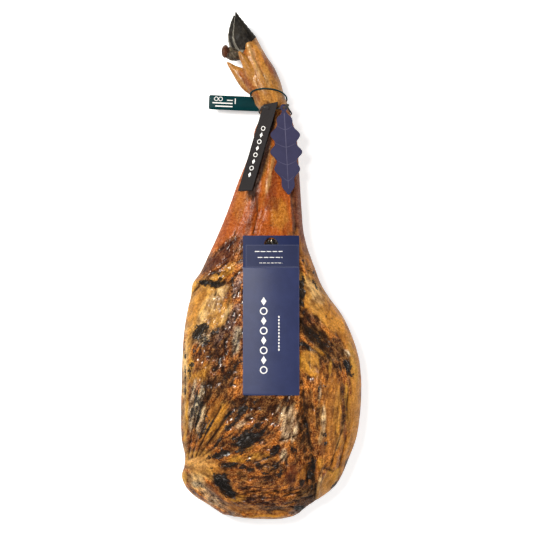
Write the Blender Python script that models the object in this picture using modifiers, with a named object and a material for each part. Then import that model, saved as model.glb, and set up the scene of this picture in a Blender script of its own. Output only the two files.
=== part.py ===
"""A whole cured front shoulder of pork with its foot, lying on its rind with the cut side up.

Metres, +Z up, +Y towards the foot. The origin is the middle of the flat spot that it rests on.
With it come two hoof claws, a plastic seal and a string round the ankle, two tags on the string,
and a card label in a sleeve, pinned to the meat.
"""

import math

import bmesh
import bpy
import numpy as np
from mathutils import Matrix, Vector

MM = 0.001
GAP = 0.3 * MM

# Driving sizes of the ham, in millimetres: the outline seen from above, as matched points on the
# left and right edges (left x, left y, right x, right y), from the butt to the coronet of the hoof.
OUTLINE = (
    (-45, -176.5, 20, -178),
    (-68, -170, 37, -171),
    (-88, -157, 51, -159),
    (-106, -145, 69.5, -147),
    (-118, -131, 88, -132),
    (-122.5, -118, 97, -117),
    (-119, -104, 103, -103),
    (-118, -92, 108, -90),
    (-122, -70, 115.5, -70),
    (-123.5, -36, 121.5, -38),
    (-122.5, 2, 123.5, 0),
    (-121.5, 42, 121, 40),
    (-119.5, 76, 111, 74),
    (-115, 106, 97, 103),
    (-109.5, 130, 77.5, 130),
    (-107, 146, 67.5, 147),
    (-98, 159, 62.5, 160),
    (-86, 184, 53.5, 184),
    (-73, 212, 45.3, 212),
    (-59, 246, 42, 246),
    (-45, 285, 39.5, 285),
    (-33, 315, 37.5, 315),
    (-25, 338, 36, 338),
    (-22.5, 356, 33, 356),
    (-16, 372, 28.5, 371),
    (-15, 383, 26, 381),
    (-21, 391, 23.5, 390),
    (-24, 400, 20, 399),
    (-31, 409, 17, 409),
    (-36, 419, 14, 420),
    (-38, 431, 9.5, 432),
    (-39, 442, 3, 445),
    (-40, 452, -6, 458),
    (-40.4, 456.5, -13, 470),
    (-40.5, 459.5, -20, 483.5),
)
# Heights along the ham: (y, height of the crown) and so on, all above the floor.
CROWN = (
    (-178, 36), (-171, 50), (-158, 62), (-140, 72), (-110, 80), (-60, 87), (-8, 89.5), (60, 85.5),
    (120, 81), (180, 76.5), (212, 74.5), (250, 71), (300, 66), (340, 63), (356, 61), (371, 55.5),
    (383, 53), (398, 55), (420, 55), (440, 53), (455, 51.5), (472, 49),
)
RIM = ((-178, 26), (-150, 33), (-100, 40), (0, 43), (120, 43), (220, 42), (330, 40), (383, 36), (472, 34))
UNDERSIDE = (
    (-178, 19), (-171, 12), (-158, 6), (-135, 1), (-100, -2), (-40, -3.5), (40, -3.5), (100, -1.5),
    (150, 2.5), (200, 6.5), (250, 11), (300, 14), (350, 16), (383, 19), (420, 16), (455, 17), (472, 18),
)
# Where the crown runs across the width: 0 is the middle, 1 the right edge.
CROWN_SIDE = ((-178, 0), (-60, 0), (60, 0.02), (140, 0.1), (212, 0.2), (290, 0.1), (383, 0), (472, 0))
# How square the section is: 2 is an ellipse, more is flatter on top with steeper sides.
FULLNESS = ((-178, 2.2), (-60, 2.5), (120, 2.5), (220, 2.2), (383, 2.0), (472, 2.2))

# Folds, furrows and swellings of the cut face: (height, half width, points of its line).
RELIEF = {
    "black crevice": (-5, 5, ((-107, 137), (-89, 145), (-66, 146))),
    "fold over the crevice": (3.5, 6, ((-88, 154), (-62, 158))),
    "dried lean band": (2.5, 9, ((-90, 164), (-38, 202))),
    "hollow under the band": (-2.5, 6, ((-74, 158), (-36, 184))),
    "shin ridge": (4, 7, ((-1, 338), (-5, 262))),
    "shin hollow": (-3.5, 5.5, ((-11, 262), (-22, 212))),
    "channel beside the bone": (-4.5, 4.5, ((27, 318), (32, 216))),
    "cleft beside the flap": (-8, 7, ((43, 0), (46, -68), (54, -108), (56, -158))),
    "rind flap": (4, 6, ((66, -106), (67, -148))),
    "diagonal hollow": (-4.5, 9, ((44, 92), (108, 28))),
    "fat swelling": (4.5, 13, ((52, 48), (58, 30))),
    "right rim groove": (-3, 6, ((93, 84), (103, 0), (97, -84), (80, -128))),
    "left rim groove": (-2.5, 5, ((-113, 120), (-114, 14), (-109, -66))),
    "first fan furrow": (-3, 4.5, ((-113, -94), (-92, -20))),
    "second fan furrow": (-2.5, 4.5, ((-104, -92), (-74, -20))),
    "third fan furrow": (-2.5, 4.5, ((-96, -92), (-56, -28))),
    "lower crease": (-5.5, 6, ((-63, -108), (-59, -126), (-42, -139), (26, -138))),
    "butt lip groove": (-4, 5.5, ((-108, -118), (-77, -149), (-42, -163), (14, -164))),
    "glossy muscle": (4.5, 13, ((24, -22), (12, -64))),
    "lower muscle": (3, 20, ((-18, -100), (20, -112))),
    "hollow beside the card": (-3.5, 8, ((-50, 142), (-57, 84), (-50, 40))),
    "mould hollow": (-3, 10, ((-92, 76), (-102, 48))),
    "butt knob": (7, 7, ((33, -162), (36, -164))),
}
RIBS = 104
TOP_STEPS = 24
UNDER_STEPS = 12

# The foot's dewclaws: (radius, point) from root to tip, and its heel: (middle, half sizes).
NEAR_DEWCLAW = ((8, (-19, 422, 44)), (7.5, (-29, 439, 47)), (5, (-38, 454, 49.5)), (1.6, (-44, 463, 50)))
FAR_DEWCLAW = ((9.5, (-23, 413, 30)), (9, (-34, 421, 29)), (6.8, (-46.5, 436.5, 27)), (1.5, (-60.5, 451, 26)))
HEEL = ((-49, 453.5, 32), (13, 8, 12.5))
HEEL_BULB = ((-62.3, 462.5, 32), (5.6, 9.5, 7.5))

# The two claws, as matched points on the sole edge and the front edge, from base to tip.
NEAR_CLAW = (
    (-40.8, 459.9, -20.3, 484),
    (-48, 466.5, -25, 489.5),
    (-53, 479, -31, 497),
    (-52.5, 493, -38, 506),
    (-50.5, 507, -44, 513.5),
    (-49.2, 518.4, -47.6, 518.7),
)
NEAR_CLAW_TOP = ((472, 49), (488, 49), (499, 46), (510, 42), (518.5, 38.6))
NEAR_CLAW_RIM = ((472, 39), (499, 38.5), (518.5, 37.6))
NEAR_CLAW_UNDER = ((472, 35.1), (490, 35.1), (505, 35.1), (518.5, 36.8))
FAR_CLAW = (
    (-44.5, 462.5, -23, 481),
    (-52, 464.5, -29, 488),
    (-57.8, 474, -35, 495.5),
    (-59.2, 486, -41, 503),
    (-57, 500, -46.5, 510),
    (-51.8, 514.6, -50.6, 515),
)
FAR_CLAW_TOP = ((471, 34.2), (490, 34.2), (503, 34.2), (515, 33))
FAR_CLAW_RIM = ((471, 29), (495, 29.5), (515, 31.5))
FAR_CLAW_UNDER = ((471, 18.5), (488, 20), (503, 25), (515, 30.5))
CLAW_RIBS = 12
CLAW_STEPS = 8

# The card label: where its middle line lies, how it bows over the ham, and its three layers.
LABEL_WIDTH = 76 * MM
LABEL_TOP_Y = 211 * MM
LABEL_LENGTH = 219 * MM
LABEL_HIGH_END = 89.2 * MM
LABEL_LOW_END = 73.6 * MM
LABEL_BOW_RADIUS = 260 * MM
CARD_THICKNESS = 0.8 * MM
INSERT_THICKNESS = 0.5 * MM
INSERT_BELOW_TOP = 12.5 * MM
INSERT_WIDTH = 71.5 * MM
SLEEVE_BELOW_TOP = 42.5 * MM
SLEEVE_THICKNESS = 0.9 * MM
EYELET_RADIUS = 9.6 * MM
EYELET_BELOW_TOP = 12 * MM
LABEL_SEAT = 0.4 * MM
LABEL_MARGIN = 14 * MM
SEAT_SLOPE = 0.6
PIN_RADIUS = 0.55 * MM
PIN_LENGTH = 5.5 * MM

# The strip tag and the leaf tag: middle of the top end, middle of the bottom end, and roll.
STRIP_TOP = (-0.5, 391.5)
STRIP_BOTTOM = (-35.3, 272)
STRIP_WIDTH = 20.4 * MM
STRIP_PITCH = math.radians(-2.5)
STRIP_ROLL = math.radians(-26)
LEAF_TOP = (17, 392)
LEAF_BOTTOM = (24, 266)
LEAF_WIDTH = 47 * MM
LEAF_LOBES = 4.6
LEAF_LOBE_DEPTH = 0.34
LEAF_HEAD_RADIUS = 5.2 * MM
LEAF_NECK = 2.6 * MM
LEAF_BLADE_START = 14 * MM
LEAF_PITCH = math.radians(-3.5)
LEAF_ROLL = math.radians(20)
TAG_THICKNESS = 0.8 * MM
TAG_CLEARANCE = 0.7 * MM
TAG_START_HEIGHT = 60 * MM
LAYING_ROUNDS = 5
TAG_HOLE_RADIUS = 2.0 * MM
TAG_HOLE_BELOW_TOP = 7 * MM

# The seal: a strap round the ankle with a flat flag, and the string below it.
STRAP_RADIUS = 1.05 * MM
STRAP_Y = 401 * MM
STRAP_TILT = 10.5 * MM
FLAG_SIZE = (90 * MM, 20 * MM, 1.5 * MM)
FLAG_CENTRE = (-41, 392.2)
FLAG_TURN = math.radians(-2.5)
STRING_RADIUS = 0.75 * MM
STRING_Y = 380.5 * MM
STRING_TILT = 4.7 * MM
STRING_OVER_CARD = 1.6 * MM
STRING_LEAVES_SKIN = (math.radians(20), math.radians(168))
# The string's way through a hole: across the tag, and off its middle plane, in millimetres.
HOLE_CROSSING = ((-3.2, 1.6), (-1.3, 1.3), (-0.45, 0.5), (0.45, -0.5), (1.3, -1.3), (3.2, -1.6))
LOOP_STEPS = 40
LOOP_CLEARANCE = 0.9 * MM

COLOURS = {
    "cured_meat": ((0.34, 0.13, 0.035), 0.38, 0.0),
    "horn": ((0.022, 0.018, 0.014), 0.5, 0.0),
    "seal_plastic": ((0.002, 0.04, 0.045), 0.4, 0.0),
    "string": ((0.01, 0.009, 0.009), 0.8, 0.0),
    "black_card": ((0.03, 0.026, 0.027), 0.6, 0.0),
    "slate_card": ((0.075, 0.07, 0.13), 0.6, 0.0),
    "navy_card": ((0.05, 0.055, 0.13), 0.55, 0.0),
    "steel_pin": ((0.5, 0.48, 0.42), 0.3, 1.0),
}


def through(pairs, at):
    """A smooth curve through (station, value...) rows: cubic pieces with the neighbours' mean slope."""
    rows = np.asarray(pairs, float)
    stations, values = rows[:, 0], rows[:, 1:]
    slopes = np.gradient(values, stations, axis=0)
    at = np.asarray(at, float)
    i = np.clip(np.searchsorted(stations, at) - 1, 0, len(stations) - 2)
    step = (stations[i + 1] - stations[i])[..., None]
    k = np.clip((at - stations[i])[..., None] / step, 0, 1)
    near = values[i] * (1 + 2 * k) + slopes[i] * step * k
    far = values[i + 1] * (3 - 2 * k) - slopes[i + 1] * step * (1 - k)
    curve = near * (1 - k) ** 2 + far * k**2
    return curve[..., 0] if curve.shape[-1] == 1 else curve


def matched_edges(outline, t):
    """Left and right edge points, in millimetres, at t from 0 to 1 along the matched outline."""
    rows = np.asarray(outline, float)
    steps = np.abs(np.diff(rows, axis=0))
    lengths = np.hypot(steps[:, 0], steps[:, 1]) + np.hypot(steps[:, 2], steps[:, 3])
    stations = np.concatenate([[0], np.cumsum(lengths)]) / lengths.sum()
    points = through(np.column_stack([stations, rows]), t)
    return points[..., :2], points[..., 2:]


def dome(side, fullness):
    """Height share across a rib: 1 at the middle, 0 at both edges."""
    return np.sqrt(np.clip(1 - np.abs(side) ** fullness, 0, 1))


def line_distance(x, y, line):
    """Distance from each point to a line of straight stretches."""
    points = np.asarray(line, float)
    nearest = np.full(np.shape(x), np.inf)
    for (ax, ay), (bx, by) in zip(points[:-1], points[1:]):
        run = math.dist((ax, ay), (bx, by)) ** 2
        along = np.clip(((x - ax) * (bx - ax) + (y - ay) * (by - ay)) / run, 0, 1)
        nearest = np.minimum(nearest, np.hypot(x - ax - along * (bx - ax), y - ay - along * (by - ay)))
    return nearest


def relief(x, y):
    """Sum of the folds and furrows of the cut face, each a bell across its line."""
    height = np.zeros(np.shape(x))
    for rise, half_width, line in RELIEF.values():
        height += rise * np.exp(-((line_distance(x, y, line) / half_width) ** 2))
    return height


def label_floor(x, y):
    """Underside of the card, in metres: straight along the ham and bowed across it."""
    share = (LABEL_TOP_Y - y) / LABEL_LENGTH
    middle = LABEL_LOW_END + (LABEL_HIGH_END - LABEL_LOW_END) * share
    return middle - x**2 / (2 * LABEL_BOW_RADIUS)


def seat_the_label(x, y, z):
    """The meat pressed down to just under the card, with a soft edge round it."""
    outside_x = np.abs(x) - LABEL_WIDTH / 2
    outside_y = np.maximum(y - LABEL_TOP_Y, LABEL_TOP_Y - LABEL_LENGTH - y)
    outside = np.maximum(np.maximum(outside_x, outside_y) - LABEL_MARGIN, 0)
    return np.minimum(z, label_floor(x, y) - LABEL_SEAT + outside * SEAT_SLOPE)


def ham_point(t, side, upper):
    """The ham's surface in metres at t along it and side across it, from -1 at the left to 1."""
    left, right = matched_edges(OUTLINE, t)
    x = (left[..., 0] * (1 - side) + right[..., 0] * (1 + side)) / 2
    y = (left[..., 1] * (1 - side) + right[..., 1] * (1 + side)) / 2
    middle = (left[..., 1] + right[..., 1]) / 2
    rim = through(RIM, middle)
    crown_side = through(CROWN_SIDE, middle)
    leaning = (side - crown_side) / np.where(side > crown_side, 1 - crown_side, 1 + crown_side)
    fullness = through(FULLNESS, middle)
    above = rim + (through(CROWN, middle) - rim) * dome(leaning, fullness)
    above = above + relief(x, y) * dome(side, 2)
    below = np.maximum(rim - (rim - through(UNDERSIDE, middle)) * dome(side, fullness), 0)
    x, y = x * MM, y * MM
    return np.stack([x, y, np.where(upper, seat_the_label(x, y, above * MM), below * MM)], axis=-1)


def ring_sides(top_steps, under_steps):
    """Stations round a rib: across the top from left to right, and back underneath."""
    top = np.sin(np.linspace(-1, 1, top_steps + 1) * math.pi / 2)
    under = np.sin(np.linspace(1, -1, under_steps + 1) * math.pi / 2)[1:-1]
    return np.concatenate([top, under]), np.concatenate([np.ones(len(top), bool), np.zeros(len(under), bool)])


def ham_rings():
    """Closed rings of the ham's surface, one for each rib."""
    side, upper = ring_sides(TOP_STEPS, UNDER_STEPS)
    t, side = np.meshgrid(np.linspace(0, 1, RIBS), side, indexing="ij")
    return ham_point(t, side, np.broadcast_to(upper, side.shape))


def claw_rings(outline, top, rim, under):
    """Closed rings of a claw, whose ribs run from its sole edge to its front edge."""
    side, upper = ring_sides(CLAW_STEPS, CLAW_STEPS // 2)
    t = np.linspace(0, 1, CLAW_RIBS)[:, None] + 0 * side
    side = side + 0 * t
    left, right = matched_edges(outline, t)
    x = (left[..., 0] * (1 - side) + right[..., 0] * (1 + side)) / 2
    y = (left[..., 1] * (1 - side) + right[..., 1] * (1 + side)) / 2
    middle = (left[..., 1] + right[..., 1]) / 2
    edge = through(rim, middle)
    end = np.where(upper, through(top, middle), through(under, middle))
    return np.stack([x, y, edge + (end - edge) * dome(side, 2.6)], axis=-1) * MM


def clear_scene():
    for old in list(bpy.data.objects):
        bpy.data.objects.remove(old, do_unlink=True)


def collection(name):
    group = bpy.data.collections.new(name)
    bpy.context.scene.collection.children.link(group)
    return group


def material(name):
    colour, roughness, metallic = COLOURS[name]
    made = bpy.data.materials.get(name) or bpy.data.materials.new(name)
    made.use_nodes = True
    shader = made.node_tree.nodes["Principled BSDF"]
    shader.inputs["Base Color"].default_value = (*colour, 1)
    shader.inputs["Roughness"].default_value = roughness
    shader.inputs["Metallic"].default_value = metallic
    return made


def add_object(name, data, group, finish):
    piece = bpy.data.objects.new(name, data)
    group.objects.link(piece)
    data.materials.append(material(finish))
    return piece


def lofted(name, rings, group, finish):
    """A closed solid through rings of points, with a flat face on each end ring."""
    ribs, around = rings.shape[:2]
    index = np.arange(ribs * around).reshape(ribs, around)
    beside = np.roll(index, -1, axis=1)
    quads = np.stack([index[:-1], beside[:-1], beside[1:], index[1:]], axis=-1).reshape(-1, 4)
    faces = quads.tolist() + [index[0][::-1].tolist(), index[-1].tolist()]
    mesh = bpy.data.meshes.new(name)
    mesh.from_pydata(rings.reshape(-1, 3).tolist(), [], faces)
    shell = bmesh.new()
    shell.from_mesh(mesh)
    bmesh.ops.recalc_face_normals(shell, faces=shell.faces)
    shell.to_mesh(mesh)
    shell.free()
    mesh.shade_smooth()
    return add_object(name, mesh, group, finish)


def as_mesh(piece):
    """A curve object made a mesh, with its loose caps welded on."""
    evaluated = piece.evaluated_get(bpy.context.evaluated_depsgraph_get())
    mesh = bpy.data.meshes.new_from_object(evaluated)
    welded = bmesh.new()
    welded.from_mesh(mesh)
    bmesh.ops.remove_doubles(welded, verts=welded.verts, dist=0.01 * MM)
    bmesh.ops.recalc_face_normals(welded, faces=welded.faces)
    welded.to_mesh(mesh)
    welded.free()
    solid = bpy.data.objects.new(piece.name, mesh)
    solid.matrix_world = piece.matrix_world
    for group in piece.users_collection:
        group.objects.link(solid)
    name = piece.name
    bpy.data.objects.remove(piece, do_unlink=True)
    solid.name = name
    return solid


def tube(name, points, radii, group, finish, closed=False):
    """A round bar along a line of points, with a radius at each."""
    curve = bpy.data.curves.new(name, "CURVE")
    curve.dimensions = "3D"
    curve.bevel_depth = 1
    curve.bevel_resolution = 2
    curve.use_fill_caps = not closed
    spline = curve.splines.new("POLY")
    spline.points.add(len(points) - 1)
    for point, place, radius in zip(spline.points, points, radii):
        point.co = (*place, 1)
        point.radius = radius
    spline.use_cyclic_u = closed
    return add_object(name, curve, group, finish)


def dewclaw(name, stations, group):
    """A finger of skin that narrows to its tip along a smooth line."""
    radii, points = zip(*stations)
    rows = np.column_stack([np.linspace(0, 1, len(stations)), radii, points])
    smooth = through(rows, np.linspace(0, 1, 7)) * MM
    return as_mesh(tube(name, smooth[:, 1:], smooth[:, 0], group, "cured_meat"))


def heel_lump(name, shape, group):
    """A rounded lump given by its middle and its half sizes."""
    middle, half_sizes = shape
    mesh = bpy.data.meshes.new(name)
    ball = bmesh.new()
    bmesh.ops.create_uvsphere(ball, u_segments=12, v_segments=8, radius=1)
    bmesh.ops.scale(ball, vec=Vector(half_sizes) * MM, verts=ball.verts)
    bmesh.ops.translate(ball, vec=Vector(middle) * MM, verts=ball.verts)
    ball.to_mesh(mesh)
    ball.free()
    return add_object(name, mesh, group, "cured_meat")


def join_all(piece, additions):
    """One Boolean union of the piece with a collection, applied, and the collection's objects removed."""
    union = piece.modifiers.new("join", "BOOLEAN")
    union.operation = "UNION"
    union.operand_type = "COLLECTION"
    union.collection = additions
    union.solver = "EXACT"
    evaluated = piece.evaluated_get(bpy.context.evaluated_depsgraph_get())
    joined = bpy.data.meshes.new_from_object(evaluated)
    piece.modifiers.clear()
    piece.data = joined
    for used in list(additions.objects):
        bpy.data.objects.remove(used, do_unlink=True)
    bpy.data.collections.remove(additions)


def build_ham(parts):
    ham = lofted("ham", ham_rings(), parts, "cured_meat")
    additions = collection("foot_additions")
    dewclaw("near_dewclaw", NEAR_DEWCLAW, additions)
    dewclaw("far_dewclaw", FAR_DEWCLAW, additions)
    heel_lump("heel", HEEL, additions)
    heel_lump("heel_bulb", HEEL_BULB, additions)
    join_all(ham, additions)


def build_claws(parts):
    near = claw_rings(NEAR_CLAW, NEAR_CLAW_TOP, NEAR_CLAW_RIM, NEAR_CLAW_UNDER)
    far = claw_rings(FAR_CLAW, FAR_CLAW_TOP, FAR_CLAW_RIM, FAR_CLAW_UNDER)
    lofted("near_claw", near, parts, "horn")
    lofted("far_claw", far, parts, "horn")


def bowed_panel(name, width, near_y, far_y, lift, thickness, parts, finish):
    """A layer of the label: a sheet on the card's bowed surface, raised by lift and thickened."""
    across, along = 12, 8
    x, y = np.meshgrid(np.linspace(-width / 2, width / 2, across + 1), np.linspace(near_y, far_y, along + 1))
    z = label_floor(x, y) + lift
    index = np.arange(x.size).reshape(x.shape)
    quads = np.stack([index[:-1, :-1], index[:-1, 1:], index[1:, 1:], index[1:, :-1]], axis=-1)
    mesh = bpy.data.meshes.new(name)
    mesh.from_pydata(np.stack([x, y, z], axis=-1).reshape(-1, 3).tolist(), [], quads.reshape(-1, 4).tolist())
    panel = add_object(name, mesh, parts, finish)
    wall = panel.modifiers.new("thickness", "SOLIDIFY")
    wall.thickness = thickness
    wall.offset = 1
    return panel


def flat_outline(name, outlines, thickness, group, finish):
    """A flat plate from closed outlines, of which the inner ones are holes, centred on its own plane."""
    curve = bpy.data.curves.new(name, "CURVE")
    curve.dimensions = "2D"
    curve.fill_mode = "BOTH"
    curve.extrude = thickness / 2
    for outline in outlines:
        spline = curve.splines.new("POLY")
        spline.points.add(len(outline) - 1)
        for point, (x, y) in zip(spline.points, outline):
            point.co = (x, y, 0, 1)
        spline.use_cyclic_u = True
    return add_object(name, curve, group, finish)


def arc(centre, radius, start, end, steps):
    """Points along a circular arc, angles in radians."""
    angles = np.linspace(start, end, steps + 1)
    return [(centre[0] + radius * math.cos(a), centre[1] + radius * math.sin(a)) for a in angles]


def build_label(parts, cutters):
    bottom_y = LABEL_TOP_Y - LABEL_LENGTH
    card = bowed_panel(
        "label_card", LABEL_WIDTH, bottom_y, LABEL_TOP_Y, 0, CARD_THICKNESS, parts, "navy_card"
    )
    eyelet_y = LABEL_TOP_Y - EYELET_BELOW_TOP
    half_moon = arc((0, eyelet_y), EYELET_RADIUS, 0, math.pi, 12)
    cutter = flat_outline("eyelet_cutter", [half_moon], 20 * MM, cutters, "navy_card")
    cutter.location.z = label_floor(0, eyelet_y)
    cutter = as_mesh(cutter)
    cutter.hide_render = True
    cutter.display_type = "WIRE"
    hole = card.modifiers.new("eyelet", "BOOLEAN")
    hole.operation = "DIFFERENCE"
    hole.object = cutter
    above_card = CARD_THICKNESS + GAP
    bowed_panel(
        "label_insert", INSERT_WIDTH, LABEL_TOP_Y - SLEEVE_BELOW_TOP + GAP, LABEL_TOP_Y - INSERT_BELOW_TOP,
        above_card, INSERT_THICKNESS, parts, "navy_card",
    )
    bowed_panel(
        "label_sleeve", LABEL_WIDTH, bottom_y, LABEL_TOP_Y - SLEEVE_BELOW_TOP,
        above_card, SLEEVE_THICKNESS, parts, "navy_card",
    )
    pin_y = np.linspace(eyelet_y + 1.5 * MM, eyelet_y + 1.5 * MM + PIN_LENGTH, 6)
    arch = np.sin(np.linspace(0, math.pi, 6)) * 0.6 * MM
    pin_z = label_floor(0, pin_y) - LABEL_SEAT + GAP + PIN_RADIUS + arch
    pin = np.column_stack([np.full(6, 0.5 * MM), pin_y, pin_z])
    tube("label_pin", pin, [PIN_RADIUS] * 6, parts, "steel_pin")


def leaf_outline(length):
    """An oak leaf hanging from its stalk: a head round the hole, a neck, and a blade with lobes."""
    down = np.linspace(0, 1, 49)[1:-1]
    swelling = np.sin(math.pi * down**0.8) ** 0.7
    lobes = 1 - LEAF_LOBE_DEPTH * (0.5 + 0.5 * np.cos(2 * math.pi * (down * LEAF_LOBES + 0.3)))
    half = np.maximum(LEAF_NECK, LEAF_WIDTH / 2 * swelling * lobes)
    blade_y = -LEAF_BLADE_START - down * (length - LEAF_BLADE_START)
    right = list(zip(half, blade_y))
    left = [(-x, y) for x, y in reversed(right)]
    opening = math.asin(LEAF_NECK / LEAF_HEAD_RADIUS)
    centre = (0, -TAG_HOLE_BELOW_TOP)
    head = arc(centre, LEAF_HEAD_RADIUS, math.pi * 1.5 - opening, -math.pi / 2 + opening, 16)
    return head + right + [(0, -length)] + left


def tag_frame(top, bottom, pitch, roll):
    """The tag's own frame: origin at the middle of its top end, -Y down the tag, +Z off the meat."""
    run = Vector((bottom[0] - top[0], bottom[1] - top[1], 0)) * MM
    turn = math.atan2(run.x, -run.y)
    matrix = Matrix.Rotation(turn, 4, "Z") @ Matrix.Rotation(pitch, 4, "X") @ Matrix.Rotation(roll, 4, "Y")
    matrix.translation = Vector((top[0] * MM, top[1] * MM, TAG_START_HEIGHT))
    return matrix, run.length


def laid_on_ham(matrix, length, width):
    """The frame raised until the tag's underside just clears the meat, found in a few rounds."""
    side = np.sin(np.linspace(-1, 1, 121) * math.pi / 2)
    t = np.linspace(0.5, 1, 400)[:, None]
    surface = ham_point(t + 0 * side, side + 0 * t, True).reshape(-1, 3)
    for _ in range(LAYING_ROUNDS):
        inverse = np.array(matrix.inverted())
        local = surface @ inverse[:3, :3].T + inverse[:3, 3]
        inside = (np.abs(local[:, 0]) < width / 2) & (local[:, 1] < 0) & (local[:, 1] > -length)
        lift = local[inside, 2].max() + TAG_CLEARANCE + TAG_THICKNESS / 2
        matrix = Matrix.Translation((0, 0, lift / matrix[2][2])) @ matrix
    return matrix


def build_tags(parts):
    """Both tags laid on the shank, and the frame of each."""
    hole = arc((0, -TAG_HOLE_BELOW_TOP), TAG_HOLE_RADIUS, 0, 2 * math.pi * 11 / 12, 11)
    strip_frame, length = tag_frame(STRIP_TOP, STRIP_BOTTOM, STRIP_PITCH, STRIP_ROLL)
    strip_frame = laid_on_ham(strip_frame, length, STRIP_WIDTH)
    half = STRIP_WIDTH / 2
    corners = [(-half, 0), (-half, -length), (half, -length), (half, 0)]
    strip = flat_outline("strip_tag", [corners, hole], TAG_THICKNESS, parts, "black_card")
    strip.matrix_world = strip_frame
    leaf_frame, length = tag_frame(LEAF_TOP, LEAF_BOTTOM, LEAF_PITCH, LEAF_ROLL)
    leaf_frame = laid_on_ham(leaf_frame, length, LEAF_WIDTH)
    leaf = flat_outline("leaf_tag", [leaf_outline(length), hole], TAG_THICKNESS, parts, "slate_card")
    leaf.matrix_world = leaf_frame
    return strip_frame, leaf_frame


def t_at(y):
    """How far along the ham its middle line reaches y, in metres."""
    t = np.linspace(0, 1, 2001)
    left, right = matched_edges(OUTLINE, t)
    return np.interp(y / MM, (left[:, 1] + right[:, 1]) / 2, t)


def ankle_loop(y, tilt, stand_off, steps):
    """A closed loop on the skin round the ankle, higher up the foot on the top side by tilt."""
    angle = np.linspace(0, 2 * math.pi, steps, endpoint=False)
    side, upper = -np.cos(angle), np.sin(angle) > -1e-9
    t = t_at(y + tilt * np.sin(angle))
    skin = ham_point(t, side, upper)
    middle = (skin.max(axis=0) + skin.min(axis=0)) / 2
    out = skin - middle
    out[:, 1] = 0
    out /= np.linalg.norm(out, axis=1)[:, None]
    return skin + out * stand_off


def build_seal(parts):
    """The strap round the ankle, fused with the flat flag that passes under it."""
    loop = ankle_loop(STRAP_Y, STRAP_TILT, STRAP_RADIUS + LOOP_CLEARANCE, LOOP_STEPS)
    seal = as_mesh(tube("seal", loop, [STRAP_RADIUS] * LOOP_STEPS, parts, "seal_plastic", closed=True))
    seal.data.materials.clear()
    seal.data.materials.append(material("seal_plastic"))
    additions = collection("seal_additions")
    length, width, thickness = FLAG_SIZE
    mesh = bpy.data.meshes.new("flag")
    plate = bmesh.new()
    bmesh.ops.create_cube(plate, size=1)
    bmesh.ops.scale(plate, vec=(length, width, thickness), verts=plate.verts)
    bmesh.ops.bevel(
        plate, geom=[e for e in plate.edges if abs(e.verts[0].co.z - e.verts[1].co.z) > thickness / 2],
        offset=2.5 * MM, segments=3, affect="EDGES",
    )
    plate.to_mesh(mesh)
    plate.free()
    flag = add_object("flag", mesh, additions, "seal_plastic")
    under_flag = np.linspace(-0.6, 0.6, 9) * width / MM + FLAG_CENTRE[1]
    flag_top = through(UNDERSIDE, under_flag).min() * MM - GAP
    flag.location = (FLAG_CENTRE[0] * MM, FLAG_CENTRE[1] * MM, flag_top - thickness / 2)
    flag.rotation_euler.z = FLAG_TURN
    bpy.context.view_layer.update()
    join_all(seal, additions)


def hole_crossing(frame, upward):
    """The string's points on its way through a tag's hole, from the tag's left side to its right."""
    across, off = np.array(HOLE_CROSSING).T * MM
    off = -off if upward else off
    return [frame @ Vector((a, -TAG_HOLE_BELOW_TOP, o)) for a, o in zip(across, off)]


def build_string(parts, strip_frame, leaf_frame):
    """The string tied round the ankle: over the strip's left half, down its hole, up the leaf's and on."""
    loop = ankle_loop(STRING_Y, STRING_TILT, STRING_RADIUS + LOOP_CLEARANCE, LOOP_STEPS)
    over_strip = strip_frame @ Vector((-STRIP_WIDTH / 2, -TAG_HOLE_BELOW_TOP, STRING_OVER_CARD))
    over_leaf = leaf_frame @ Vector((LEAF_HEAD_RADIUS, -TAG_HOLE_BELOW_TOP, STRING_OVER_CARD))
    crossing = [over_strip, *hole_crossing(strip_frame, False), *hole_crossing(leaf_frame, True), over_leaf]
    angle = np.linspace(0, 2 * math.pi, LOOP_STEPS, endpoint=False)
    under = [tuple(p) for p, a in zip(loop, angle) if a > STRING_LEAVES_SKIN[1]]
    rising = [tuple(p) for p, a in zip(loop, angle) if a < STRING_LEAVES_SKIN[0]]
    points = rising + [tuple(p) for p in crossing] + under
    tube("ankle_string", points, [STRING_RADIUS] * len(points), parts, "string", closed=True)


def main():
    clear_scene()
    parts = collection("cured_ham")
    cutters = collection("cutters")
    build_ham(parts)
    build_claws(parts)
    build_label(parts, cutters)
    strip_frame, leaf_frame = build_tags(parts)
    build_seal(parts)
    build_string(parts, strip_frame, leaf_frame)


main()
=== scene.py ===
"""The looks of a whole cured front shoulder of pork, laid on its rind with the cut side up.

Metres, +Z up, +Y towards the hoof. Places in the tables are millimetres, seen from above.
"""

import math

import bmesh
import bpy
import numpy as np
from mathutils import Matrix, Vector


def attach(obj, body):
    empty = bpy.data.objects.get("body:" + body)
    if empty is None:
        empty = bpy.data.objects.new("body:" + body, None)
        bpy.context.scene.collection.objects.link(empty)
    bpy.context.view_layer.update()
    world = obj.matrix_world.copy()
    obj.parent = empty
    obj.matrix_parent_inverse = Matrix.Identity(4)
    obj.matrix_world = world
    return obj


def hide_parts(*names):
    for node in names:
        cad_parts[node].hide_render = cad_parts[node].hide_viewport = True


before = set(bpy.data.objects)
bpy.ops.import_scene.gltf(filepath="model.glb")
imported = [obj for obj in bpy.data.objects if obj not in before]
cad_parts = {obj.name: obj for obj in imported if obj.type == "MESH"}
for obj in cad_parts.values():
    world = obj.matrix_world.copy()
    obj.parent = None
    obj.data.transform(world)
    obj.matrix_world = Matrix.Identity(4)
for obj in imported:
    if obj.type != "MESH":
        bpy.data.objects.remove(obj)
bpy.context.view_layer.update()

MM = 0.001
BODY = "root"


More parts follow.
